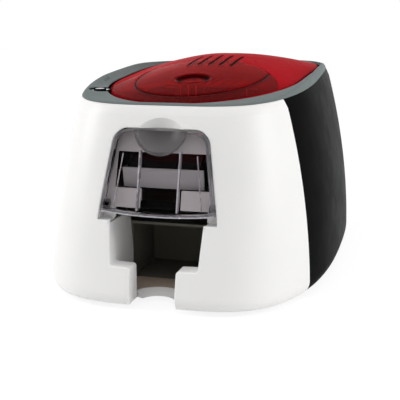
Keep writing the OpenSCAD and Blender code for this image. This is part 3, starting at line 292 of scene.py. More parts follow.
def grow(outline, g):
    """Moves a closed outline outwards by g, with mitred corners."""
    p = np.asarray(outline, float)
    area = np.sum(p[:, 0] * np.roll(p[:, 1], -1) - np.roll(p[:, 0], -1) * p[:, 1])
    d = np.roll(p, -1, 0) - p
    d /= np.linalg.norm(d, axis=1, keepdims=True)
    n = np.stack([d[:, 1], -d[:, 0]], -1) * (1 if area > 0 else -1)
    m = n + np.roll(n, 1, 0)
    m /= np.maximum(np.sum(m * m, 1, keepdims=True) / 2, 0.3)
    return p + m * g


def fillet(outline, radius, steps=5):
    """Rounds the corners of a closed outline, as far as its edges leave room."""
    p = np.asarray(outline, float)
    out = []
    for a, b, c in zip(np.roll(p, 1, 0), p, np.roll(p, -1, 0)):
        u, v = a - b, c - b
        lu, lv = np.linalg.norm(u), np.linalg.norm(v)
        u, v = u / lu, v / lv
        half = math.acos(max(-1.0, min(1.0, float(u @ v)))) / 2
        if half > math.radians(80):
            out.append(b)
            continue
        r = min(radius, 0.45 * min(lu, lv) * math.tan(half))
        start, end = b + u * r / math.tan(half), b + v * r / math.tan(half)
        middle = b + (u + v) / np.linalg.norm(u + v) * r / math.sin(half)
        for k in range(steps + 1):
            q = start + (end - start) * k / steps - middle
            out.append(middle + q / np.linalg.norm(q) * r)
    return np.array(out)


def finer(outline, step):
    """Adds points along the straight runs of a closed outline."""
    p = np.asarray(outline, float)
    out = []
    for a, b in zip(p, np.roll(p, -1, 0)):
        n = max(1, int(np.linalg.norm(b - a) / step))
        out += [a + (b - a) * k / n for k in range(n)]
    return np.array(out)


def rim_cutter(name, outline, radius, steps=5):
    """Cuts a rounded edge of that radius round an opening in the front surface."""
    levels = [(radius, -12.0)]
    for k in range(steps + 1):
        t = math.pi / 2 * k / steps
        levels.append((radius * (1 - math.sin(t)), radius * (1 - math.cos(t)) + 0.01))
    levels.append((-1.0, radius + 0.4))
    loops = []
    for g, depth in levels:
        p = grow(outline, g)
        z = p[:, 1] + FOOT_H
        loops.append(xyz(p[:, 0], face_y(p[:, 0], z) + depth, z))
    return sweep(name, np.array(loops))


def slab(name, out_inset, in_inset, half_x=60.0, z0=30.0, z1=136.0, count=60):
    """Solid slab of the front, between two insets."""
    x = np.linspace(-half_x, half_x, count)[:, None]
    z = FOOT_H + np.linspace(z0, z1, count)
    back = z[::-1]
    faces = [xyz(x, face_y(x, z, out_inset), z), xyz(x, face_y(x, back, in_inset), back)]
    return sweep(name, np.concatenate(faces, 1))


def finish_piece(obj, body, finish, nodes=(), sharp=32.0):
    """Smooths a new piece, gives it the finish of that name and hangs it on its body."""
    obj.data.shade_smooth()
    obj.data.set_sharp_from_angle(angle=math.radians(sharp))
    obj.data.materials.clear()
    obj.data.materials.append(finishes()[finish])
    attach(obj, body)
    if nodes:
        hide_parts(*nodes)
    return obj


# Sizes and colours that a user would change

class HousingSizes(bpy.types.PropertyGroup):
    wall: FloatProperty(name="Wall", description="Wall of the moulded shells, in millimetres",
                        default=2.6, min=2.0, max=3.0)
    seam: FloatProperty(name="Seam", description="Seam between the shells, in millimetres",
                        default=0.3, min=0.2, max=0.4)
    lip: FloatProperty(name="Top lip", description="How far the shells' top edge is rounded "
                       "back, in millimetres", default=1.6, min=0.0, max=1.6)
    lip_h: FloatProperty(name="Lip height", description="Height of the rounding under the top "
                         "edge, in millimetres", default=6.0, min=3.0, max=12.0)
    columns: IntProperty(name="Columns", description="Columns of faces round each shell",
                         default=150, min=60, max=300)


class LidSizes(bpy.types.PropertyGroup):
    dome: FloatProperty(name="Dome", description="Height of the lid's dome, in millimetres",
                        default=14.75, min=12.0, max=17.0)
    wall: FloatProperty(name="Wall", description="Wall of the lid and its lens, in millimetres",
                        default=2.4, min=2.0, max=3.0)
    lens_half_w: FloatProperty(name="Lens half width", description="Half the width of the clear "
                               "lens, in millimetres", default=67.0, min=60.0, max=70.0)
    lens_rear: FloatProperty(name="Lens rear", description="Length of the lens behind its widest "
                             "point, in millimetres", default=84.0, min=70.0, max=90.0)
    groove: FloatProperty(name="Groove", description="Depth of the oval groove in the lens, in "
                          "millimetres", default=0.9, min=0.0, max=1.5)
    dimple: FloatProperty(name="Dimple", description="Depth of the finger dimple in the lens, in "
                          "millimetres", default=2.2, min=1.0, max=3.0)


class CoverSizes(bpy.types.PropertyGroup):
    wall: FloatProperty(name="Wall", description="Wall of the smoked cover, in millimetres",
                        default=2.0, min=1.6, max=2.4)
    edge: FloatProperty(name="Edge radius", description="Rounding of the cover's edges, in "
                        "millimetres", default=1.2, min=0.4, max=2.0)


class FinishColours(bpy.types.PropertyGroup):
    white: FloatVectorProperty(name="White", description="White moulded plastic", size=3,
                               subtype="COLOR", default=(0.86, 0.853, 0.845), min=0, max=1)
    grey: FloatVectorProperty(name="Grey", description="Matt grey plastic of the bezel", size=3,
                              subtype="COLOR", default=(0.165, 0.192, 0.19), min=0, max=1)
    dark: FloatVectorProperty(name="Dark", description="Satin black plastic of the rear", size=3,
                              subtype="COLOR", default=(0.0035, 0.0036, 0.004), min=0, max=1)
    red: FloatVectorProperty(name="Red", description="Red plastic of the lid", size=3,
                             subtype="COLOR", default=(0.42, 0.006, 0.012), min=0, max=1)
    lens: FloatVectorProperty(name="Lens", description="Clear red plastic of the lens", size=3,
                              subtype="COLOR", default=(0.95, 0.05, 0.055), min=0, max=1)
    smoke: FloatVectorProperty(name="Smoke", description="Smoked clear plastic", size=3,
                               subtype="COLOR", default=(0.61, 0.585, 0.6), min=0, max=1)
    steel: FloatVectorProperty(name="Steel", description="Brushed steel", size=3,
                               subtype="COLOR", default=(0.6, 0.61, 0.62), min=0, max=1)


class StageSettings(bpy.types.PropertyGroup):
    floor_half: FloatProperty(name="Floor", description="Half the side of the floor",
                              default=6.0, min=1.0, max=20.0, unit="LENGTH")
    ambient: FloatProperty(name="Ambient", description="Strength of the light from all round",
                           default=0.3, min=0.0, max=2.0)
    sky: FloatProperty(name="Overhead light", description="Strength of the wide light from above",
                       default=0.8, min=0.0, max=5.0)
    side_watts: FloatProperty(name="Side lights", description="Power of the soft side lights",
                              default=15.5, min=0.0, max=200.0, subtype="POWER")


# Finishes

def new_material(name):
    mat = bpy.data.materials.new(name)
    mat.use_nodes = True
    return mat, mat.node_tree.nodes, mat.node_tree.links


def node(nodes, kind, **values):
    made = nodes.new(kind)
    for key, value in values.items():
        if hasattr(made, key):
            setattr(made, key, value)
        else:
            made.inputs[key].default_value = value
    return made


def noise(nodes, links, scale, detail=3.0, stretch=None):
    """Noise over the piece, in metres, stretched along an axis where it is brushed."""
    where = node(nodes, "ShaderNodeTexCoord")
    grain = node(nodes, "ShaderNodeTexNoise", Scale=scale, Detail=detail)
    source = where.outputs["Object"]
    if stretch:
        turn = node(nodes, "ShaderNodeMapping", Scale=stretch)
        links.new(source, turn.inputs["Vector"])
        source = turn.outputs["Vector"]
    links.new(source, grain.inputs["Vector"])
    return grain.outputs["Fac"]


def spread(nodes, links, source, low, high, start=0.3, end=0.7):
    made = node(nodes, "ShaderNodeMapRange")
    for slot_name, value in zip(("From Min", "From Max", "To Min", "To Max"),
                                (start, end, low, high)):
        made.inputs[slot_name].default_value = value
    links.new(source, made.inputs["Value"])
    return made.outputs["Result"]


def shade(colour, share):
    return tuple(min(1.0, c * share) for c in colour) + (1.0,)


def two_tone(nodes, links, source, first, second, start=0.3, end=0.7):
    ramp = node(nodes, "ShaderNodeValToRGB")
    ramp.color_ramp.elements[0].position = start
    ramp.color_ramp.elements[0].color = first
    ramp.color_ramp.elements[1].position = end
    ramp.color_ramp.elements[1].color = second
    links.new(source, ramp.inputs["Fac"])
    return ramp.outputs["Color"]


def blend(nodes, links, share, first, second):
    """Mixes two colours, each a socket or a value, by a share."""
    mix = node(nodes, "ShaderNodeMix", data_type="RGBA")
    links.new(share, mix.inputs["Factor"])
    for k, colour in ((6, first), (7, second)):
        if isinstance(colour, tuple):
            mix.inputs[k].default_value = colour
        else:
            links.new(colour, mix.inputs[k])
    return mix.outputs[2]


def flow_tone(nodes, links, flow, colour, mottle):
    return two_tone(nodes, links, flow, shade(colour, 1 - mottle), shade(colour, 1 + mottle))


def add_bump(nodes, links, shader, source, depth, strength=0.5):
    bump = node(nodes, "ShaderNodeBump", Strength=strength, Distance=depth)
    links.new(source, bump.inputs["Height"])
    links.new(bump.outputs["Normal"], shader.inputs["Normal"])


def moulded(name, colour, rough, grain, depth, mottle, specular, rear=None, run=(0.0, 1.0)):
    """Injection-moulded plastic: fine spark grain, faint flow marks, uneven gloss. A rear colour
    is reached over a run of y, in metres; that change from front to rear is painted light and
    shade."""
    mat, nodes, links = new_material(name)
    shader = nodes["Principled BSDF"]
    flow = noise(nodes, links, 22.0, 2.0)
    tone = flow_tone(nodes, links, flow, colour, mottle)
    # Painted light and shade: the colour turns to the rear colour along y, for how light falls on
    # the part.
    if rear:
        far = flow_tone(nodes, links, flow, rear, mottle)
        split = node(nodes, "ShaderNodeSeparateXYZ")
        links.new(node(nodes, "ShaderNodeTexCoord").outputs["Object"], split.inputs["Vector"])
        share = spread(nodes, links, split.outputs["Y"], 0.0, 1.0, *run)
        tone = blend(nodes, links, share, tone, far)
    links.new(tone, shader.inputs["Base Color"])
    fine = noise(nodes, links, grain, 4.0)
    wide = noise(nodes, links, 60.0, 3.0)
    links.new(spread(nodes, links, wide, rough * 0.88, rough * 1.12), shader.inputs["Roughness"])
    add_bump(nodes, links, shader, fine, depth)
    shader.inputs["Specular IOR Level"].default_value = specular
    return mat


def brushed(name, colour, rough, stretch):
    """Rolled or drawn metal with grain lines along one axis."""
    mat, nodes, links = new_material(name)
    shader = nodes["Principled BSDF"]
    shader.inputs["Metallic"].default_value = 1.0
    lines = noise(nodes, links, 90.0, 5.0, stretch)
    links.new(two_tone(nodes, links, lines, shade(colour, 0.9), shade(colour, 1.08)),
              shader.inputs["Base Color"])
    links.new(spread(nodes, links, lines, rough * 0.8, rough * 1.25), shader.inputs["Roughness"])
    add_bump(nodes, links, shader, lines, 0.00002)
    return mat


def clear_face(nodes, links, shader, low, high, share, ior):
    """Nearly smooth face of a clear plastic: uneven haze, faint ripples, see-through share."""
    haze = noise(nodes, links, 90.0, 3.0)
    links.new(spread(nodes, links, haze, low, high), shader.inputs["Roughness"])
    add_bump(nodes, links, shader, noise(nodes, links, 300.0, 2.0), 0.00001, 0.2)
    shader.inputs["Transmission Weight"].default_value = share
    shader.inputs["IOR"].default_value = ior


def clear(name, colour, rough, share, ior, mottle=0.05):
    """Tinted clear plastic with faint flow marks."""
    mat, nodes, links = new_material(name)
    shader = nodes["Principled BSDF"]
    flow = noise(nodes, links, 18.0, 2.0)
    links.new(flow_tone(nodes, links, flow, colour, mottle), shader.inputs["Base Color"])
    clear_face(nodes, links, shader, rough * 0.8, rough * 1.3, share, ior)
    return mat


def lens_plastic(name, colour):
    """Clear red plastic, darker towards the front, with a dark groove line and a dark wall round
    the
    finger dimple. All three are painted: reflection and shade from front to rear, painted shade
    in the groove and on the dimple's wall."""
    mat, nodes, links = new_material(name)
    shader = nodes["Principled BSDF"]
    where = node(nodes, "ShaderNodeTexCoord").outputs["Object"]

    def maths(kind, first, second=None):
        made = node(nodes, "ShaderNodeMath", operation=kind)
        for k, value in enumerate((first, second)):
            if isinstance(value, (int, float)):
                made.inputs[k].default_value = value
            elif value is not None:
                links.new(value, made.inputs[k])
        return made.outputs["Value"]

    def reach(place, scale):
        turn = node(nodes, "ShaderNodeMapping", Scale=scale,
                    Location=tuple(-a * b for a, b in zip(place, scale)))
        links.new(where, turn.inputs["Vector"])
        length = node(nodes, "ShaderNodeVectorMath", operation="LENGTH")
        links.new(turn.outputs["Vector"], length.inputs[0])
        return length.outputs["Value"]

    # Painted reflection and shade: darker at the front, lighter towards the rear and the left.
    lean = node(nodes, "ShaderNodeVectorMath", operation="DOT_PRODUCT")
    lean.inputs[1].default_value = (-0.45, 0.9, 0.0)
    links.new(where, lean.inputs[0])
    depth = spread(nodes, links, lean.outputs["Value"], 0.0, 0.9, -0.13, -0.01)
    flow = maths("MULTIPLY", noise(nodes, links, 18.0, 2.0), 0.1)
    tone = two_tone(nodes, links, maths("ADD", depth, flow), shade(colour, 0.35),
                    shade(colour, 1.0), 0.0, 1.0)
    # Painted shade: a dark line along the oval groove.
    oval = reach((0.0, OVAL_Y * MM, 0.0), (1 / (OVAL_W * MM), 1 / (OVAL_L * MM), 0.0))
    line = spread(nodes, links, maths("ABSOLUTE", maths("SUBTRACT", oval, 1.0)), 0.0, 1.0,
                  0.008, 0.024)
    # Painted shade: a dark ring on the wall of the finger dimple.
    round_ = reach((0.0, DIMPLE_Y * MM, 0.0), (1.0, 1.0, 0.0))
    wall = spread(nodes, links, maths("ABSOLUTE", maths("SUBTRACT", round_, 0.0115)), 0.0, 1.0,
                  0.0012, 0.0032)
    lined = blend(nodes, links, maths("MINIMUM", line, wall), shade(colour, 0.05), tone)
    links.new(lined, shader.inputs["Base Color"])
    clear_face(nodes, links, shader, 0.05, 0.08, 0.84, 1.015)
    return mat


# Colour, roughness, grain, bump in metres, mottle and specular of the plain plastics
PLASTICS = {
    "deep_black": ((0.004, 0.004, 0.004), 0.6, 1500.0, 0.00004, 0.1, 0.003),
    "black_moulding": ((0.009, 0.009, 0.01), 0.5, 1500.0, 0.00005, 0.08, 0.06),
    "red_bright": ((0.85, 0.02, 0.02), 0.4, 1500.0, 0.00002, 0.04, 0.1),
    "rubber_black": ((0.018, 0.018, 0.019), 0.75, 900.0, 0.00008, 0.12, 0.2),
    "roll_blue": ((0.06, 0.16, 0.5), 0.4, 700.0, 0.00004, 0.06, 0.5),
    "gear_white": ((0.66, 0.66, 0.62), 0.42, 1200.0, 0.00003, 0.03, 0.5),
    "film_black": ((0.012, 0.011, 0.016), 0.16, 500.0, 0.00002, 0.1, 0.5),
    "board_green": ((0.012, 0.07, 0.03), 0.4, 350.0, 0.00006, 0.25, 0.5),
    "grey_moulding": ((0.6, 0.6, 0.6), 0.5, 1500.0, 0.00004, 0.05, 0.5),
    "tray_moulding": ((0.5, 0.4, 0.32), 0.45, 1500.0, 0.00004, 0.06, 0.1),
    "bin_moulding": ((0.15, 0.145, 0.12), 0.5, 1500.0, 0.00005, 0.08, 0.05),
    "steel_lamp": ((0.35, 0.38, 0.38), 0.3, 1200.0, 0.00002, 0.05, 0.5),
}


def finishes():
    """Makes every finish once and returns them by name."""
    if "white_moulding" in bpy.data.materials:
        return {m.name: m for m in bpy.data.materials}
    c = bpy.context.scene.printer_colours
    moulded("white_moulding", tuple(c.white), 0.34, 1700.0, 0.00002, 0.012, 0.2)
    moulded("grey_bezel", tuple(c.grey), 0.5, 2200.0, 0.00006, 0.05, 0.015)
    # Painted sheen: the satin black turns lighter grey towards the rear, standing in for the
    # reflection of the light behind.
    moulded("dark_moulding", tuple(c.dark), 0.42, 1500.0, 0.00006, 0.04, 0.004,
            (0.05, 0.051, 0.051), (-0.09, 0.16))
    # Painted shade and light: the lid is 0.3 of its red at the front and full red at the rear.
    moulded("red_moulding", tuple(0.3 * v for v in c.red), 0.3, 1500.0, 0.00002, 0.04, 0.0005,
            tuple(c.red), (-0.14, -0.05))
    # Painted shade and light: the liner under the lens is near black at the front, where the
    # inside lies in shade, and lit red at the rear.
    moulded("red_liner", (0.015, 0.002, 0.003), 0.5, 1500.0, 0.00003, 0.08, 0.01,
            (0.5, 0.01, 0.012), (-0.09, 0.0))
    # Painted shade: the hopper is white at its front face and black behind it, for the shade
    # inside its mouth.
    moulded("hopper_moulding", tuple(c.white), 0.4, 1700.0, 0.00002, 0.012, 0.1,
            (0.009, 0.009, 0.01), (-0.1595, -0.1585))
    for name, values in PLASTICS.items():
        moulded(name, *values)
    lens_plastic("red_lens", tuple(c.lens))
    clear("smoked_clear", tuple(c.smoke), 0.04, 1.0, 1.08)
    clear("smoked_rim", (0.5, 0.49, 0.51), 0.15, 0.85, 1.08)
    # Painted highlight: a lighter, less clear finish for the ribs and the cover's lower edge, so
    # they read as bright edges.
    clear("smoked_edge", (0.75, 0.74, 0.78), 0.25, 0.45, 1.3)
    # Painted shade: the thumb bowl is half as bright as the rest of the cover; its greater
    # roughness is haze of the plastic.
    clear("smoked_bowl", tuple(0.5 * v for v in c.smoke), 0.2, 0.8, 1.15)
    brushed("steel_sheet", tuple(c.steel), 0.32, (14.0, 1.0, 14.0))
    brushed("steel_turned", tuple(c.steel), 0.24, (1.0, 14.0, 14.0))
    return {m.name: m for m in bpy.data.materials}


# Shapes of the pocket, the window and the cover in the front view
COVER_LOW = 42.3
COVER_HIGH = 33.4
COVER_Z0 = 64.4
COVER_Z1 = 121.4
COVER_R = 11.0
COVER_SAG = 2.2
WINDOW_GAP = 0.7
STEP_Z = 58.6
POCKET_W1 = 34.4
POCKET_W0 = 32.3
NOTCH_W = 16.9
SHOULDER_Z = 26.4
SHOULDER_L = 20.5
POCKET_Z1 = 57.3
POCKET_BACK = -BODY_L / 2 + 56
TRAY_T = 2.0
BASE_T = 2.5
THUMB_R = 16.6
FACE_TILT = math.atan(FRONT_LEAN)
FACE_LOW = 65.6  # over the feet: the cover's lower edge swings past under it
FACE_BACK = 10.45


def arc(cx, cy, r, a0, a1, n):
    a = np.radians(np.linspace(a0, a1, n + 1))
    return list(zip(cx + r * np.cos(a), cy + r * np.sin(a)))


def cover_outline(g=0.0, drop=0.0):
    """Outline of the feeder cover in the front view, grown by g."""
    slope = (COVER_LOW - COVER_HIGH) / (COVER_Z1 - COVER_Z0)
    side = math.degrees(math.atan2(COVER_Z1 - COVER_Z0, COVER_LOW - COVER_HIGH))
    r, zc = COVER_R + g, COVER_Z1 - COVER_R
    xc = COVER_HIGH - COVER_R + slope * COVER_R
    x0, z0 = COVER_LOW + g + drop * slope, COVER_Z0 - g - drop
    sag = [] if drop else [(x0 * t, z0 - COVER_SAG * (1 - t * t))
                           for t in np.linspace(-1, 1, 25)[1:-1]]
    return ([(-x0, z0)] + sag + [(x0, z0)] + arc(xc, zc, r, 90 - side, 90, 12)
            + arc(-xc, zc, r, 90, 90 + side, 12))


def flipped(right):
    """The left half of a symmetric outline, from its right half."""
    return [(-x, z) for x, z in reversed(right)]


def pocket_side(top):
    """Right side of the output pocket, from below the floor to a given height."""
    return [(NOTCH_W, -9), (NOTCH_W, SHOULDER_Z), (POCKET_W0, SHOULDER_Z + 0.6),
            (POCKET_W1, POCKET_Z1), (POCKET_W1, top)]


def window_outline(gap=WINDOW_GAP):
    """The cover's window, from the step over the pocket upwards."""
    return cover_outline(gap, COVER_Z0 - STEP_Z)


def opening_outline():
    """Pocket and window as one opening."""
    window = window_outline()
    right = pocket_side(window[1][1])
    return right + window[1:] + [window[0]] + flipped(right)


def dish_ball(name, rim, depth, z, extra):
    r = (rim * rim + depth * depth) / (2 * depth)
    y = float(face_y(0.0, FOOT_H + z))
    return ball(name, (0.0, y - (r - depth) * math.cos(FACE_TILT),
                       FOOT_H + z + (r - depth) * math.sin(FACE_TILT)), r + extra, 160)


def upper_dish(name, extra):
    return dish_ball(name, THUMB_R + 4.9, 10.0, COVER_Z1 - 12.0, extra)


def lower_dish(name, extra):
    return dish_ball(name, THUMB_R + 0.6, 7.5, COVER_Z1 + 1.5, extra)


def shell_levels():
    """Heights of the rows of a shell, close together at the floor edge and the top lip."""
    low = 0.068 * (1 - np.cos(np.linspace(0, math.pi / 2, 12)))
    high = 0.935 + 0.065 * np.sin(np.linspace(0, math.pi / 2, 12))
    return np.concatenate([low, np.linspace(0.07, 0.933, 30), [0.952, 0.956], high[6:]])


def lip_inset(s, size):
    """How far the top lip turns back at a height s."""
    t = np.clip(1 - (1 - s) * FRONT_H / size.lip_h, 0.0, 0.985)
    return size.lip * (0.25 * (1 - np.sqrt(1 - t * t)) + 0.75 * t)


def shell_solid(name, kind, dy):
    size = bpy.context.scene.printer_housing
    t = np.linspace(-1, 1, size.columns + 1)
    u = (0.45 * t + 0.55 * np.sign(t) * t * t)[:, None]
    s = shell_levels()
    outer = skin(kind, u, s, lip_inset(s, size) + SKIN_INSET, 0.0, dy)
    inner = skin(kind, u, np.linspace(1, 0, 14), size.wall, 0.0, dy)
    return sweep(name, np.concatenate([outer, inner], 1))


class PRINTER_OT_front_shell(bpy.types.Operator):
    """White front shell with the output pocket, its shoulders and the thumb dish"""
    bl_idname = "printer.front_shell"
    bl_label = "Front shell"

    def execute(self, context):
        size = context.scene.printer_housing
        shell = shell_solid("front_shell_skin", "front", -size.seam / 2)
        x = np.linspace(-40, 40, 41)[:, None]
        rows = np.concatenate([np.linspace(0, 0.07, 12), np.linspace(0.1, 0.5, 14)])
        z = FOOT_H + rows * FRONT_H
        front = xyz(x, face_y(x, z, 0.3), z)
        back = xyz(x, POCKET_BACK + 5, z[[-1, 0]])
        core = sweep("core", np.concatenate([front, back], 1))
        wall_top = STEP_Z - WINDOW_GAP - 1.6 - size.seam
        outer = [(POCKET_W0 + TRAY_T, BASE_T + size.seam), (POCKET_W0 + TRAY_T, SHOULDER_Z),
                 (POCKET_W1 + TRAY_T, wall_top)]
        walls = prism("walls", outer + flipped(outer), -BODY_L, POCKET_BACK)
        inner = [(POCKET_W0, -1), (POCKET_W0, SHOULDER_Z), (POCKET_W1, POCKET_Z1 + 1)]
        combine(walls, prism("room", inner + flipped(inner), -BODY_L - 5, POCKET_BACK + 5))
        y0 = float(y_front(FOOT_H + SHOULDER_Z))
        y1 = -BODY_L / 2 + SHOULDER_L
        top = FOOT_H + 0.5
        for side in (-1, 1):
            edges = sorted((side * NOTCH_W, side * (POCKET_W0 + 1)))
            combine(walls, side_prism("shoulder", [
                (y0 - 20, top), (y1, top), (y1, top + SHOULDER_Z + 3.6),
                (y0, top + SHOULDER_Z + 0.2), (y0 - 20, top + SHOULDER_Z)], *edges), "UNION")
        combine(walls, core, "INTERSECT")
        combine(shell, walls, "UNION")
        bowl = upper_dish("bowl", 2.0)
        combine(bowl, slab("slab", 0.3, 14.0), "INTERSECT")
        combine(bowl, block("band", (-21, -BODY_L, FOOT_H + COVER_Z1 - 1),
                            (21, 0, FOOT_H + COVER_Z1 + 12)), "INTERSECT")
        combine(shell, bowl, "UNION")
        pocket = pocket_side(STEP_Z + 1)
        combine(shell, prism("pocket", fillet(pocket + flipped(pocket), 2.0), -BODY_L,
                             POCKET_BACK + 20))
        combine(shell, prism("window", window_outline(), -BODY_L, -BODY_L / 2 + 45))
        combine(shell, rim_cutter("rim", finer(fillet(opening_outline(), 2.0), 6.0), 0.9))
        combine(shell, upper_dish("dish", 0.0))
        finish_piece(shell, "housing", "white_moulding", ["front_shell"])
        return {"FINISHED"}


class PRINTER_OT_pocket_details(bpy.types.Operator):
    """Rim of the finger scoop, plate of the card flap, hopper face with a black sheet of painted
    shade in its notch
    """
    bl_idname = "printer.pocket_details"
    bl_label = "Pocket details"

    def execute(self, context):
        top = FOOT_H + BASE_T + TRAY_T
        y0 = -BODY_L / 2 + 15
        a = np.radians(np.linspace(22, 158, 61))
        rows = [(20.0, FOOT_H + 0.1), (20.0, top + 0.2), (19.8, top + 0.45),
                (19.4, top + 0.5), (18.9, top + 0.3), (13.6, FOOT_H + 1.0),
                (13.2, FOOT_H + 0.6), (13.2, FOOT_H + 0.1)]
        rim = sweep("scoop_rim", np.array([[(r * math.cos(t), y0 + r * math.sin(t), z)
                                            for r, z in rows] for t in a]))
        finish_piece(rim, "housing", "white_moulding")
        face = fillet([(-157.9, 97.2), (-154.9, 82.8), (-153.6, 82.6), (-156.4, 97.6)], 0.4, 3)
        plate = side_prism("flap_plate", face, -30.0, 30.0)
        finish_piece(plate, "hopper_presser", "grey_moulding")
        front = slab("hopper_face_front", 9.6, FACE_BACK, z0=54.0, z1=122.5)
        backing = slab("backing", 10.0, 12.9, 30.0, 105.5, 122.5)
        combine(front, backing, "UNION")
        combine(front, prism("edge", window_outline(WINDOW_GAP - 0.6), -BODY_L,
                             -BODY_L / 2 + 60), "INTERSECT")
        combine(front, prism("low", [(-60, 40), (60, 40), (60, FACE_LOW), (-60, FACE_LOW)],
                             -BODY_L, 0))
        mouth = fillet([(-15, 50), (15, 50), (15, 79), (35, 79), (34, 104.5), (-34, 104.5),
                        (-35, 79), (-15, 79)], 0.8)
        combine(front, prism("mouth", mouth, -BODY_L, 0))
        combine(front, lower_dish("dish", 2.2))
        finish_piece(front, "housing", "white_moulding")
        # Painted shade: a black sheet behind the lower notch of the hopper's mouth.
        notch_shade = slab("hopper_notch_shade", 9.9, FACE_BACK, 14.9, FACE_LOW + 0.2, 71.0)
        finish_piece(notch_shade, "housing", "deep_black")
        return {"FINISHED"}


# Openings of the rear shell
INLET_X = -52.0
INLET_Z = 24.0
INLET_R = 5.5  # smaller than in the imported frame, which has 6.5
PORT_X = (-32.6, -19.4)
PORT_Z = (18.2, 29.8)
VENT_COUNT_REAR = 9
VENT_Z = (66, 100)
LOUVRE_COUNT = 7
LOUVRE_Z = (22, 44)


class PRINTER_OT_rear_shell(bpy.types.Operator):
    """Satin black rear shell with its vents and socket openings"""
    bl_idname = "printer.rear_shell"
    bl_label = "Rear shell"

    def execute(self, context):
        size = context.scene.printer_housing
        shell = shell_solid("rear_shell_skin", "rear", size.seam / 2)
        end = BODY_L / 2
        combine(shell, rod("inlet", (INLET_X, end - 30, INLET_Z), 1, INLET_R, 60))
        combine(shell, block("port", (PORT_X[0], end - 30, PORT_Z[0]),
                             (PORT_X[1], end + 30, PORT_Z[1])))
        for i in range(VENT_COUNT_REAR):
            x = -26 + 12 * i
            combine(shell, block("vent", (x, end - 40, VENT_Z[0]), (x + 5, end + 20, VENT_Z[1])))
        for side in (-1, 1):
            for i in range(LOUVRE_COUNT):
                y = 60 + 9 * i
                edges = sorted((side * 93, side * 133))
                combine(shell, block("louvre", (edges[0], y, LOUVRE_Z[0]),
                                     (edges[1], y + 3.4, LOUVRE_Z[1])))
        finish_piece(shell, "housing", "dark_moulding", ["rear_shell"])
        return {"FINISHED"}


# Lid outline and height
LID_HALF_W = 76.0
LID_FLARE = 7.0
LID_FRONT_L = 122.0
LID_REAR_L = 166.0
LID_Y = -26.8
LID_SQUARE = 4.1
LID_GAP = 2.5
LID_BACK_GAP = 5.6
LID_CY = 28.0
LID_RISE = 0.9
LENS_Y = -87.0
OVAL_Y = -45.0
OVAL_W = 52.0
OVAL_L = 85.0
DIMPLE_Y = -80.0
DIMPLE_R = 9.5
EDGE_R = 1.3
VENT_COUNT = 5
VENT_PITCH = 9.2
VENT_Y0 = -29.5
VENT_Y1 = 17.5
VENT_R = 1.5


def lid_outline(a, g):
    c, s = np.cos(a), np.sin(a)
    back = s > 0
    sc, ss = spow(c, 2 / LID_SQUARE), np.abs(s) ** (2 / LID_SQUARE)
    x = np.where(back, (LID_HALF_W + g + LID_FLARE * ss) * sc, (LID_HALF_W + g) * c)
    y = np.where(back, LID_Y + (LID_REAR_L + g) * ss, LID_Y + (LID_FRONT_L + g) * s)
    return x, y


def hole_outline(a):
    return lid_outline(a, LID_GAP + (LID_BACK_GAP - LID_GAP) * ease(3 * (np.sin(a) - 0.6)))


def around(outline, cy):
    """Radius of an outline about (0, cy), as a function of the angle there."""
    a = circle(2880)
    x, y = outline(a)
    turn = np.arctan2(y - cy, x)
    order = np.argsort(turn)
    turn, reach = turn[order], np.hypot(x, y - cy)[order]
    return lambda t: np.interp(t, turn, reach, period=2 * math.pi)


LID_REACH = around(lambda a: lid_outline(a, 0.0), LID_CY)
SOFT_TOP = 0.13


def lid_height(x, y, dome):
    """Height of the lid's outer face, without its groove and dimple."""
    r = np.minimum(np.hypot(x, y - LID_CY) / LID_REACH(np.arctan2(y - LID_CY, x)), 1.0)
    low = SOFT_TOP ** 1.55
    fall = ((r * r + SOFT_TOP ** 2) ** 0.775 - low) / ((1 + SOFT_TOP ** 2) ** 0.775 - low)
    return top_z(y) + LID_RISE + dome * (1 - fall)


def crest(y):
    return CREST_H * ease((y - EDGE_Y - 15) / 95) * (1 - 0.85 * ease((y - EDGE_Y - 170) / 110))


def even_ring(count):
    """Values of u that space points evenly round the housing's top edge."""
    u = np.linspace(0, 1, 6001)
    p = skin("ring", u, 1.0, 0.0)
    run = np.concatenate([[0], np.cumsum(np.linalg.norm(np.diff(p, axis=0), axis=1))])
    return np.interp(np.linspace(0, run[-1], count, endpoint=False), run, u)


def smooth_run(points, steps):
    """Smooth curve through rows of points, as a Catmull-Rom spline."""
    p = [2 * points[0] - points[1]] + list(points) + [2 * points[-1] - points[-2]]
    out = []
    for i in range(1, len(p) - 2):
        for k in range(steps):
            t = k / steps
            out.append(0.5 * (2 * p[i] + (p[i + 1] - p[i - 1]) * t
                              + (2 * p[i - 1] - 5 * p[i] + 4 * p[i + 1] - p[i + 2]) * t * t
                              + (3 * p[i] - p[i - 1] - 3 * p[i + 1] + p[i + 2]) * t ** 3))
    return out + [points[-1]]


def at_height(p, z):
    return xyz(p[:, 0], p[:, 1], z)


BUTTON = (-70.0, -100.0)
BUTTON_HOLE_R = 8.9
LIGHTS = [(-80.5 - 0.9 * i, -63 + 5.5 * i) for i in range(3)]
LIGHT_HOLE_R = 1.2


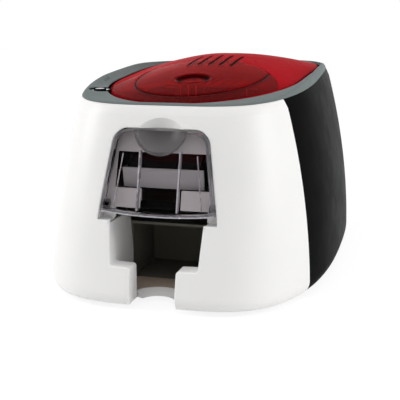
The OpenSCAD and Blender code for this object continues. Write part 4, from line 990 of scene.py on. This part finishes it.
class PRINTER_OT_bezel(bpy.types.Operator):
    """Grey bezel between the shells and the lid, with a black ring on the ledge in the gap round
    the lid
    """
    bl_idname = "printer.bezel"
    bl_label = "Top bezel"

    def execute(self, context):
        size = context.scene.printer_housing
        u = even_ring(288)
        a = 2 * math.pi * u
        seam, wall, lip = size.seam, size.wall, size.lip
        start = skin("ring", u, 1.0, lip * 0.9, seam)
        c = crest(start[:, 1])
        shoulder = skin("ring", u, 1.0, lip * 0.95 + 0.3, seam + 0.7 * c + 0.5)
        top1 = skin("ring", u, 1.0, lip * 0.9 + 1.2, seam + c + 1.1)
        top2 = skin("ring", u, 1.0, lip * 0.9 + 3.0, seam + c + 1.25)
        skirt = skin("ring", u, 1.0, wall + seam, seam)
        hx, hy = hole_outline(a)
        edge_z = top_z(hy) + 0.9 + 0.15 * c
        edge = xyz(hx, hy, edge_z)
        middle = (top2 + edge) / 2 - np.stack([0 * c, 0 * c, 0.25 * c], -1)
        outward_step = (top2 - edge) * np.array([1, 1, 0])
        outward_step /= np.linalg.norm(outward_step, axis=1, keepdims=True)
        near_edge = edge + outward_step * 0.9 + np.array([0, 0, 0.02])
        rows = smooth_run([start, shoulder, top1, top2, middle, near_edge], 5)
        rows.append(edge + outward_step * 0.25 - np.array([0, 0, 0.12]))
        rows.append(edge - np.array([0, 0, 0.7]))
        lx, ly = lid_outline(a, -LEDGE_W)
        t = ease(3 * (np.sin(a) - 0.55))
        lx, ly = lx * (1 - t) + hx * 0.998 * t, ly * (1 - t) + hy * 0.998 * t
        inner_z = top_z(hy) - SKIRT_Z
        foot = at_height(skirt, top_z(skirt[:, 1]) - SKIRT_Z)
        inner = xyz(hx, hy, inner_z)
        rows += [xyz(hx, hy, top_z(hy) - LEDGE_Z), xyz(lx, ly, top_z(ly) - LEDGE_Z),
                 xyz(lx, ly, top_z(ly) - SKIRT_Z), inner * 0.7 + foot * 0.3, foot, skirt]
        bezel = sweep("top_bezel_skin", np.stack(rows, 1), ring=True)
        z = float(top_z(BUTTON[1]))
        combine(bezel, rod("hole", (*BUTTON, z - 20), 2, BUTTON_HOLE_R, 40, 96))
        for x, y in LIGHTS:
            combine(bezel, rod("light", (x, y, float(top_z(y)) - 20), 2, LIGHT_HOLE_R, 40, 32))
        finish_piece(bezel, "housing", "grey_bezel", ["top_bezel"], 40)
        # A black ring on the ledge inside the bezel, in the gap round the lid.
        side = xyz(hx, hy, edge_z) + outward_step * 0.06
        lined = edge - outward_step * (0.35 - 0.25 * t)[:, None]
        gx, gy = lid_outline(a, -1.2)
        gx, gy = gx * (1 - t) + lined[:, 0] * 0.997 * t, gy * (1 - t) + lined[:, 1] * 0.997 * t
        rows = [at_height(side, inner_z + 0.4), side - np.array([0, 0, 1.0]),
                lined - np.array([0, 0, 1.0]), at_height(lined, top_z(hy) - LEDGE_Z + 0.15),
                xyz(gx, gy, top_z(gy) - LEDGE_Z + 0.15), xyz(gx, gy, inner_z + 0.4)]
        gap_ring = sweep("lid_gap_ring", np.stack(rows, 1), ring=True)
        finish_piece(gap_ring, "housing", "deep_black")
        return {"FINISHED"}


class PRINTER_OT_button(bpy.types.Operator):
    """Power button: black lining of painted shade in the hole, steel cup and the dished button
    with its bright middle
    """
    bl_idname = "printer.button"
    bl_label = "Power button"

    def turned(self, name, profile):
        """Turned piece round the button's axis, leaning with the top of the housing."""
        obj = lathe(name, (*BUTTON, 0.0), profile)
        for vertex in obj.data.vertices:
            vertex.co.z += TOP_SLOPE * (vertex.co.y - BUTTON[1] * MM)
        return obj

    def execute(self, context):
        cup, key = (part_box(n) for n in ("button_cup", "power_button"))
        top, low = cup[1][2] / MM, cup[0][2] / MM
        # Painted shade: a black lining in the bezel's hole, for the shaded far wall seen over the
        # cup.
        shade_lining = self.turned("button_shade_lining", [(8.4, top - 4), (8.85, top - 4), (8.85, top - 0.4),
                                           (8.7, top - 0.2), (8.4, top - 0.3)])
        finish_piece(shade_lining, "housing", "deep_black")
        ring = self.turned("button_cup_ring", [
            (5.1, low + 1.2), (7.4, low + 1.2), (7.4, top - 2.4), (8.35, top - 2.2),
            (8.35, top - 1.2), (8.1, top - 0.95), (7.6, top - 1.0), (5.8, top - 1.5),
            (5.2, top - 1.8), (5.1, top - 2.2)])
        floor = self.turned("floor", [(0.01, low + 0.1), (7.4, low + 0.1), (7.4, low + 1.3),
                                      (0.01, low + 1.3)])
        combine(ring, floor, "UNION")
        finish_piece(ring, "housing", "steel_turned", ["button_cup"], 50)
        edge, foot = key[1][2] / MM, key[0][2] / MM
        body = self.turned("power_button_body", [
            (0.01, foot), (4.9, foot), (4.9, edge - 0.7), (4.75, edge - 0.3), (4.4, edge - 0.15),
            (3.9, edge - 0.3), (3.0, edge - 0.8), (1.5, edge - 1.15), (0.01, edge - 1.2)])
        finish_piece(body, "power_button", "deep_black", ["power_button"], 50)
        face = self.turned("power_button_face", [
            (0.01, edge - 1.25), (1.5, edge - 1.2), (3.2, edge - 0.82), (3.6, edge - 0.5),
            (3.3, edge - 0.38), (1.5, edge - 0.75), (0.01, edge - 0.85)])
        finish_piece(face, "power_button", "steel_turned", (), 50)
        return {"FINISHED"}


def vent_x(i):
    return (i - VENT_COUNT // 2) * VENT_PITCH


def vent_slots(obj):
    """Slots with round ends through the lid."""
    for i in range(VENT_COUNT):
        p = np.array(arc(vent_x(i), VENT_Y1, VENT_R, 0, 180, 10)
                     + arc(vent_x(i), VENT_Y0, VENT_R, 180, 360, 10))
        combine(obj, sweep("slot", np.array([xyz(p[:, 0], p[:, 1], z) for z in (130.0, 190.0)])))


def lens_outline(size):
    """Edge of the lens about its middle: an ellipse that stays inside the lid's own edge."""
    lid = around(lambda a: lid_outline(a, -1.2), LENS_Y)

    def reach(t):
        length = np.where(np.sin(t) > 0, size.lens_rear, 70.0)
        return np.minimum(1 / np.hypot(np.cos(t) / size.lens_half_w, np.sin(t) / length), lid(t))
    return reach


def lens_plan(turn, radii):
    """Plan of the points at those radii round the middle of the lens."""
    return radii * np.cos(turn)[:, None], LENS_Y + radii * np.sin(turn)[:, None]


def dimple_bowl(x, y):
    """1 in the middle of the finger dimple and 0 outside it."""
    return 1 - ease((np.hypot(x, y - DIMPLE_Y) - DIMPLE_R) / 5.0)


class PRINTER_OT_lid(bpy.types.Operator):
    """Red lid: opaque back, clear lens with its groove and dimple, inner comb, black sheets of
    painted shade in the vents
    """
    bl_idname = "printer.lid"
    bl_label = "Lid"

    def execute(self, context):
        size = context.scene.printer_lid
        turn = circle(360)
        reach = lens_outline(size)(turn)[:, None]
        rim = around(lambda a: lid_outline(a, 0.0), LENS_Y)(turn)[:, None]

        def base(x, y):
            return lid_height(x, y, size.dome)

        def marks(x, y):
            e = np.hypot(x / OVAL_W, (y - OVAL_Y) / OVAL_L)
            groove = np.exp(-(((e - 1) * 64.0) / 1.5) ** 2) * ease((-22.0 - y) / 14.0)
            ring = np.exp(-((np.hypot(x, y - DIMPLE_Y) - 16.5) / 1.2) ** 2)
            return -size.groove * groove - size.dimple * dimple_bowl(x, y) + 0.35 * ring

        # Lens: rings from its middle to its edge, with the edge turned down a little
        share = np.concatenate([np.linspace(0.004, 0.985, 118), [0.99, 0.994, 0.998, 1.0]])
        radii = share[None, :] * (reach - 0.12)

        def lens_top(x, y):
            turned = np.clip((share - 0.99) / 0.01, 0, 1) ** 2 * 0.35
            return base(x, y) + marks(x, y) - turned[None, :]

        def lens_low(x, y):
            return base(x, y) - size.wall - size.dimple * dimple_bowl(x, y)

        x, y = lens_plan(turn, radii)
        grid = np.stack([xyz(x, y, lens_top(x, y)), xyz(x, y, lens_low(x, y))])
        lens = self.plate("lid_lens", grid)
        vent_slots(lens)
        finish_piece(lens, "lid", "red_lens")

        # Back and rim of the lid round the lens
        step = np.concatenate([[0.0, 0.006], np.linspace(0.02, 0.96, 26),
                               [0.98, 0.99, 0.996, 1.0]])
        inner, outer = reach + 0.12, rim
        radii = inner + (outer - inner) * step[None, :]
        x, y = lens_plan(turn, radii)
        far = outer - radii
        drop = EDGE_R * (1 - np.sqrt(1 - np.clip(1 - far / EDGE_R, 0, 0.995) ** 2))
        top = xyz(x, y, base(x, y) - drop)
        skirt = top_z(y[:, -1:]) - LEDGE_Z + 0.3
        angle = np.arctan2((y[:, -1:] - LID_Y) / LID_REAR_L, x[:, -1:] / LID_HALF_W)
        skirt = skirt + 1.5 * ease(3 * (np.sin(angle) - 0.25))
        rim_low = xyz(x[:, -1:], y[:, -1:], skirt)
        pull = np.maximum(outer - size.wall, inner + 0.2)
        under = xyz(*lens_plan(turn, pull), skirt)
        xr, yr = lens_plan(turn, np.minimum(radii, pull))
        low = xyz(xr, yr, base(xr, yr) - size.wall)[:, ::-1]
        keep = np.concatenate([[0], np.arange(4, low.shape[1])])
        rows = np.concatenate([top, rim_low, under, low[:, keep]], 1)
        shell = sweep("lid_shell", rows, ring=True)
        vent_slots(shell)
        finish_piece(shell, "lid", "red_moulding", ["lid_cover"])
        self.comb(base)
        self.shade_vents(base)
        return {"FINISHED"}

    def plate(self, name, grid):
        """Closed plate from an upper and a lower polar grid, with small caps in the middle."""
        _, n, m, _ = grid.shape

        def upper(i, j):
            return (i % n) * m + j

        def lower(i, j):
            return n * m + (i % n) * m + j

        faces = []
        for i in range(n):
            for j in range(m - 1):
                faces.append((upper(i, j), upper(i, j + 1), upper(i + 1, j + 1), upper(i + 1, j)))
                faces.append((lower(i, j), lower(i + 1, j), lower(i + 1, j + 1), lower(i, j + 1)))
            faces.append((upper(i, m - 1), lower(i, m - 1),
                          lower(i + 1, m - 1), upper(i + 1, m - 1)))
        faces.append(tuple(upper(i, 0) for i in range(n)))
        faces.append(tuple(lower(i, 0) for i in range(n - 1, -1, -1)))
        return outward(add_mesh(name, grid, faces))

    def comb(self, base):
        """Three hooks that hang from a bar under the dimple, seen through the lens."""
        y, pitch, half = -92.0, 6.2, 0.6
        z = float(base(0.0, y)) - 3.4
        bar = block("lid_comb", (-7.0, y - 1.0, z - 8.6), (7.0, y, z - 7.6))
        for x in (-pitch, 0.0, pitch):
            combine(bar, block("prong", (x - half, y - 1.0, z - 8.4), (x + half, y, z)), "UNION")
            combine(bar, block("hook", (x - half, y - 3.0, z - 8.6),
                               (x + half, y - 0.4, z - 7.7)), "UNION")
        finish_piece(bar, "lid", "red_bright")

    def shade_vents(self, base):
        """Black sheets of painted shade inside the vent slots, just under the face of the lid."""
        middle, straight = (VENT_Y0 + VENT_Y1) / 2, (VENT_Y1 - VENT_Y0) / 2
        y = middle + (straight + 1.4) * np.sin(np.linspace(-math.pi / 2, math.pi / 2, 30))
        past = np.clip((np.abs(y - middle) - straight) / VENT_R, 0, 0.99)
        half = (VENT_R - 0.06) * np.sqrt(1 - past ** 2)
        for i in range(VENT_COUNT):
            x = vent_x(i) + np.array([-1, 1])[None, :] * half[:, None]
            rows = y[:, None]
            top = xyz(x, rows, base(x, rows) - 0.35)
            low = xyz(x[:, ::-1], rows, base(x[:, ::-1], rows) - 2.3)
            # Painted shade: a black sheet just under the lid's face, so the vent slot reads dark.
            vent_shade = sweep(f"vent_shade_sheet_{i + 1}", np.concatenate([top, low], 1))
            finish_piece(vent_shade, "lid", "deep_black")


SWING = (-166.6, 72.4)
RIB_X = 14.7
PIN_R = 1.54
LUG_R = 3.3
LUG_W = 3.6
LUG_X = COVER_LOW - 5.02


class PRINTER_OT_feeder_cover(bpy.types.Operator):
    """Smoked clear cover of the card feeder, with its rim, ribs, lower edge and thumb bowl"""
    bl_idname = "printer.feeder_cover"
    bl_label = "Feeder cover"

    def cap(self, name, outline, front, back, radius):
        """Cap that follows the housing's front, with rounded front edges."""
        p = finer(outline, 2.5)
        middle = np.array([0.0, 92.0])
        loops = []

        def row(q, depth):
            z = q[:, 1] + FOOT_H
            loops.append(xyz(q[:, 0], face_y(q[:, 0], z) + depth, z))

        inner = grow(p, -radius)
        for t in (0.02, 0.15, 0.3, 0.45, 0.6, 0.75, 0.88, 0.96):
            row(middle + (inner - middle) * t, front)
        for k in range(7):
            t = math.pi / 2 * k / 6
            row(grow(p, -radius * (1 - math.sin(t))), front + radius * (1 - math.cos(t)))
        row(p, back)
        return sweep(name, np.array(loops))

    def execute(self, context):
        size = context.scene.printer_cover
        outline = np.array(cover_outline())
        cover = self.cap("feeder_cover_skin", outline, -1.0, 4.5, size.edge)
        combine(cover, self.cap("room", grow(outline, -size.wall), size.wall - 1.0, 11.0, 0.6))
        bowl = lower_dish("cover_bowl", 1.2)
        combine(bowl, slab("slab", -1.0, 11.0), "INTERSECT")
        combine(bowl, prism("edge", grow(outline, -0.4), -BODY_L, -100), "INTERSECT")
        combine(bowl, lower_dish("dish", 0.0))
        ribs = []
        for side in (-1, 1):
            edges = sorted((side * RIB_X - 0.55, side * RIB_X + 0.55))
            rib = block("rib", (edges[0], -BODY_L, FOOT_H + COVER_Z0 + 1),
                        (edges[1], 0, FOOT_H + COVER_Z1 - 15))
            combine(rib, slab("slab", size.wall - 1.0, 5.0), "INTERSECT")
            thin = prism("thin", [(side * 26.9, COVER_Z1 - 17), (side * 27.5, COVER_Z1 - 17),
                                  (side * 32.4, COVER_Z0 + 3), (side * 31.8, COVER_Z0 + 3)],
                         -BODY_L, 0)
            combine(thin, slab("slab", size.wall - 1.0, 2.2), "INTERSECT")
            combine(rib, thin, "UNION")
            ribs.append(rib)
            combine(cover, rod("lug", (side * LUG_X - (0 if side > 0 else LUG_W), *SWING),
                               0, LUG_R, LUG_W), "UNION")
        combine(cover, lower_dish("dish", 1.25))
        combine(cover, slab("under", 3.0, 20.0, z1=COVER_Z0 + 0.8))
        combine(cover, rod("pin", (-60, *SWING), 0, PIN_R, 120))
        reach = math.hypot(float(face_y(0.0, FOOT_H + COVER_Z1)) - SWING[0],
                           FOOT_H + COVER_Z1 - SWING[1]) - 0.25
        for piece in (cover, bowl):
            combine(piece, rod("swing", (-60, *SWING), 0, reach, 120, 360), "INTERSECT")
        rim = add_object("cover_rim", cover.data.copy())
        combine(rim, prism("middle", grow(outline, -size.wall - 0.15), -BODY_L, 0))
        combine(cover, prism("middle", grow(outline, -size.wall - 0.2), -BODY_L, 0), "INTERSECT")
        finish_piece(rim, "feeder_cover", "smoked_rim")
        finish_piece(cover, "feeder_cover", "smoked_clear", ["feeder_cover"])
        finish_piece(bowl, "feeder_cover", "smoked_bowl")
        x = np.linspace(-1, 1, 61)[:, None] * (COVER_LOW - 1.6)
        sag = COVER_Z0 - COVER_SAG * (1 - (x / COVER_LOW) ** 2) + FOOT_H
        lip = [(-1.02, -0.02), (-1.15, 0.35), (-1.02, 0.75), (4.3, 0.75), (4.3, -0.02)]
        rows = [xyz(x, face_y(x, sag + up) + depth, sag + up) for depth, up in lip]
        strip = sweep("cover_lower_edge", np.concatenate(rows, 1))
        combine(strip, block("keep", (-60, -BODY_L, FOOT_H + COVER_Z0 - 5), (60, 0, 200)),
                "INTERSECT")
        # The ribs and the lower edge take the painted-highlight finish.
        for piece in (strip, *ribs):
            finish_piece(piece, "feeder_cover", "smoked_edge")
        for side, rib in zip(("left", "right"), ribs):
            rib.name = f"cover_rib_{side}"
        return {"FINISHED"}


class PRINTER_OT_springs(bpy.types.Operator):
    """Coiled springs behind the print head and under the button"""
    bl_idname = "printer.springs"
    bl_label = "Springs"

    def coil(self, name, centre, radius, wire, length, turns):
        t = np.linspace(0, 1, turns * 28 + 1)
        a = 2 * math.pi * turns * t
        pitch = np.clip(t * 1.16 - 0.08, 0, 1) * (length - wire) + wire / 2
        line = xyz(radius * np.cos(a), radius * np.sin(a), pitch) + np.asarray(centre, float)
        way = np.gradient(line, axis=0)
        way /= np.linalg.norm(way, axis=1, keepdims=True)
        out = xyz(np.cos(a), np.sin(a), 0 * a)
        up = np.cross(way, out)
        b = circle(10)
        loops = line[:, None] + wire / 2 * (np.cos(b)[None, :, None] * out[:, None]
                                            + np.sin(b)[None, :, None] * up[:, None])
        return sweep(name, loops)

    def execute(self, context):
        low, high = (np.array(c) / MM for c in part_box("head_springs"))
        for name, x in (("head_spring_left", -18.0), ("head_spring_right", 18.0)):
            spring = self.coil(name, (x, -10, low[2]), 2.9, 0.8, high[2] - low[2], 5)
            finish_piece(spring, "lid", "steel_turned", ["head_springs"], 60)
            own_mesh(spring)
        low, high = (np.array(c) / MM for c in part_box("button_spring"))
        spring = self.coil("button_coil", (*BUTTON, low[2]), 2.5, 0.5, high[2] - low[2], 3)
        finish_piece(spring, "housing", "steel_turned", ["button_spring"], 60)
        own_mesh(spring)
        return {"FINISHED"}


NODE_FINISH = {
    "bin_moulding": ["tray_bin"],
    "black_moulding": ["base_plate", "card_guide", "print_head", "power_socket",
                       "cover_pivots", "shaft_bushes", "hopper_presser"],
    "hopper_moulding": ["card_hopper"],
    "rubber_black": ["rubber_feet", "platen_roller", "front_feed_roller", "rear_feed_roller",
                     "pick_roller", "front_pinch_roller", "rear_pinch_roller"],
    "tray_moulding": ["output_tray"],
    "steel_sheet": ["left_side_frame", "right_side_frame", "head_bracket", "usb_socket"],
    "steel_turned": ["tie_rods", "lid_hinge_rod", "drive_motor", "frame_screws", "motor_pinion"],
    "red_liner": ["lid_frame"],
    "gear_white": ["platen_gear", "front_feed_gear", "rear_feed_gear", "pick_gear",
                   "middle_idler_gear", "rear_idler_gear", "pick_idler_gear"],
    "roll_blue": ["cleaning_roller"],
    "dark_moulding": ["ribbon_cassette"],
    "film_black": ["ribbon_supply_spool", "ribbon_takeup_spool", "ribbon_film"],
    "board_green": ["main_board"],
    "steel_lamp": ["indicator_lights"],
}


class PRINTER_OT_node_finishes(bpy.types.Operator):
    """Finishes for the frame's own parts that stay in view"""
    bl_idname = "printer.node_finishes"
    bl_label = "Finishes of the mechanism"

    def execute(self, context):
        m = finishes()
        for finish, names in NODE_FINISH.items():
            for name in names:
                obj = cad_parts[name]
                if obj.data.materials:
                    for i in range(len(obj.data.materials)):
                        obj.data.materials[i] = m[finish]
                else:
                    obj.data.materials.append(m[finish])
        return {"FINISHED"}


# Camera fitted to the photograph, and where the lamps aim
CAMERA_AT = (0.1722, -0.6795, 0.1945)
CAMERA_TURN = (math.radians(77.72), 0.0, math.radians(15.51))
CAMERA_LENS = 71.07
LAMP_TARGET = (0.0, -0.05, 0.09)


class PRINTER_OT_stage(bpy.types.Operator):
    """Pale floor, soft studio lights, white surroundings and the camera"""
    bl_idname = "printer.stage"
    bl_label = "Stage"

    def floor(self, half):
        size = half / MM
        floor = add_mesh("floor", [(-size, -size, 0), (size, -size, 0), (size, size, 0),
                                   (-size, size, 0)], [(0, 1, 2, 3)])
        mat, nodes, links = new_material("pale_floor")
        shader = nodes["Principled BSDF"]
        shader.inputs["Base Color"].default_value = (0.9, 0.9, 0.9, 1.0)
        shader.inputs["Roughness"].default_value = 0.6
        shader.inputs["Specular IOR Level"].default_value = 0.1
        glow = node(nodes, "ShaderNodeEmission", Strength=1.15)
        seen = self.seen(nodes, links)
        share = spread(nodes, links, seen, 0.0, 0.75, 0.0, 1.0)
        mix = node(nodes, "ShaderNodeMixShader")
        links.new(share, mix.inputs["Fac"])
        links.new(shader.outputs["BSDF"], mix.inputs[1])
        links.new(glow.outputs["Emission"], mix.inputs[2])
        links.new(mix.outputs["Shader"], nodes["Material Output"].inputs["Surface"])
        floor.data.materials.append(mat)

    def seen(self, nodes, links):
        """1 for what the camera sees, directly or in gloss and glass."""
        path = node(nodes, "ShaderNodeLightPath")
        first = node(nodes, "ShaderNodeMath", operation="MAXIMUM")
        links.new(path.outputs["Is Camera Ray"], first.inputs[0])
        links.new(path.outputs["Is Glossy Ray"], first.inputs[1])
        second = node(nodes, "ShaderNodeMath", operation="MAXIMUM")
        links.new(first.outputs["Value"], second.inputs[0])
        links.new(path.outputs["Is Transmission Ray"], second.inputs[1])
        return second.outputs["Value"]

    def light(self, name, place, target, size, watts):
        data = bpy.data.lights.new(name, "AREA")
        data.shape = "RECTANGLE"
        data.size, data.size_y = size
        data.energy = watts
        lamp = add_object(name, data)
        lamp.location = place
        aim = Vector(target) - Vector(place)
        lamp.rotation_euler = aim.to_track_quat("-Z", "Y").to_euler()

    def execute(self, context):
        stage = context.scene.printer_stage
        scene = context.scene
        self.floor(stage.floor_half)
        world = bpy.data.worlds.new("studio")
        world.use_nodes = True
        nodes, links = world.node_tree.nodes, world.node_tree.links
        soft = nodes["Background"]
        soft.inputs["Color"].default_value = (1, 1, 1, 1)
        soft.inputs["Strength"].default_value = stage.ambient
        plain = node(nodes, "ShaderNodeBackground", Strength=1.0, Color=(1.0, 1.0, 1.0, 1.0))
        mix = node(nodes, "ShaderNodeMixShader")
        links.new(self.seen(nodes, links), mix.inputs["Fac"])
        links.new(soft.outputs["Background"], mix.inputs[1])
        links.new(plain.outputs["Background"], mix.inputs[2])
        links.new(mix.outputs["Shader"], nodes["World Output"].inputs["Surface"])
        scene.world = world
        sun = bpy.data.lights.new("overhead", "SUN")
        sun.energy = stage.sky
        sun.angle = math.radians(60)
        add_object("overhead", sun).rotation_euler = (math.radians(14), math.radians(-6), 0)
        for name, place in (("left", (-1.5, -0.55, 0.75)), ("right", (1.6, -0.25, 0.7))):
            self.light(name, place, LAMP_TARGET, (0.8, 0.9), stage.side_watts)
        camera = add_object("camera", bpy.data.cameras.new("camera"))
        camera.data.lens = CAMERA_LENS
        camera.data.sensor_width = 36.0
        camera.location = CAMERA_AT
        camera.rotation_euler = CAMERA_TURN
        scene.camera = camera
        scene.view_settings.view_transform = "Standard"
        return {"FINISHED"}


OPERATORS = [PRINTER_OT_stage, PRINTER_OT_front_shell, PRINTER_OT_pocket_details,
             PRINTER_OT_rear_shell, PRINTER_OT_bezel,
             PRINTER_OT_button, PRINTER_OT_lid, PRINTER_OT_feeder_cover, PRINTER_OT_springs,
             PRINTER_OT_node_finishes]


class PRINTER_PT_pieces(bpy.types.Panel):
    """Pieces of the card printer"""
    bl_idname = "PRINTER_PT_pieces"
    bl_label = "Card printer"
    bl_space_type = "VIEW_3D"
    bl_region_type = "UI"
    bl_category = "Card printer"

    def draw(self, context):
        for group in (HousingSizes, LidSizes, CoverSizes, FinishColours, StageSettings):
            values = getattr(context.scene, GROUPS[group])
            box = self.layout.box()
            for name in group.__annotations__:
                box.prop(values, name)
        for operator in OPERATORS:
            self.layout.operator(operator.bl_idname)


GROUPS = {HousingSizes: "printer_housing", LidSizes: "printer_lid", CoverSizes: "printer_cover",
          FinishColours: "printer_colours", StageSettings: "printer_stage"}


def register():
    for group, name in GROUPS.items():
        bpy.utils.register_class(group)
        setattr(bpy.types.Scene, name, PointerProperty(type=group))
    for operator in OPERATORS:
        bpy.utils.register_class(operator)
    bpy.utils.register_class(PRINTER_PT_pieces)


def unregister():
    bpy.utils.unregister_class(PRINTER_PT_pieces)
    for operator in reversed(OPERATORS):
        bpy.utils.unregister_class(operator)
    for group, name in GROUPS.items():
        delattr(bpy.types.Scene, name)
        bpy.utils.unregister_class(group)


def main():
    register()
    bpy.ops.printer.stage()
    bpy.ops.printer.front_shell()
    bpy.ops.printer.pocket_details()
    bpy.ops.printer.rear_shell()
    bpy.ops.printer.bezel()
    bpy.ops.printer.button()
    bpy.ops.printer.lid()
    bpy.ops.printer.feeder_cover()
    bpy.ops.printer.springs()
    bpy.ops.printer.node_finishes()


if __name__ == "__main__":
    main()
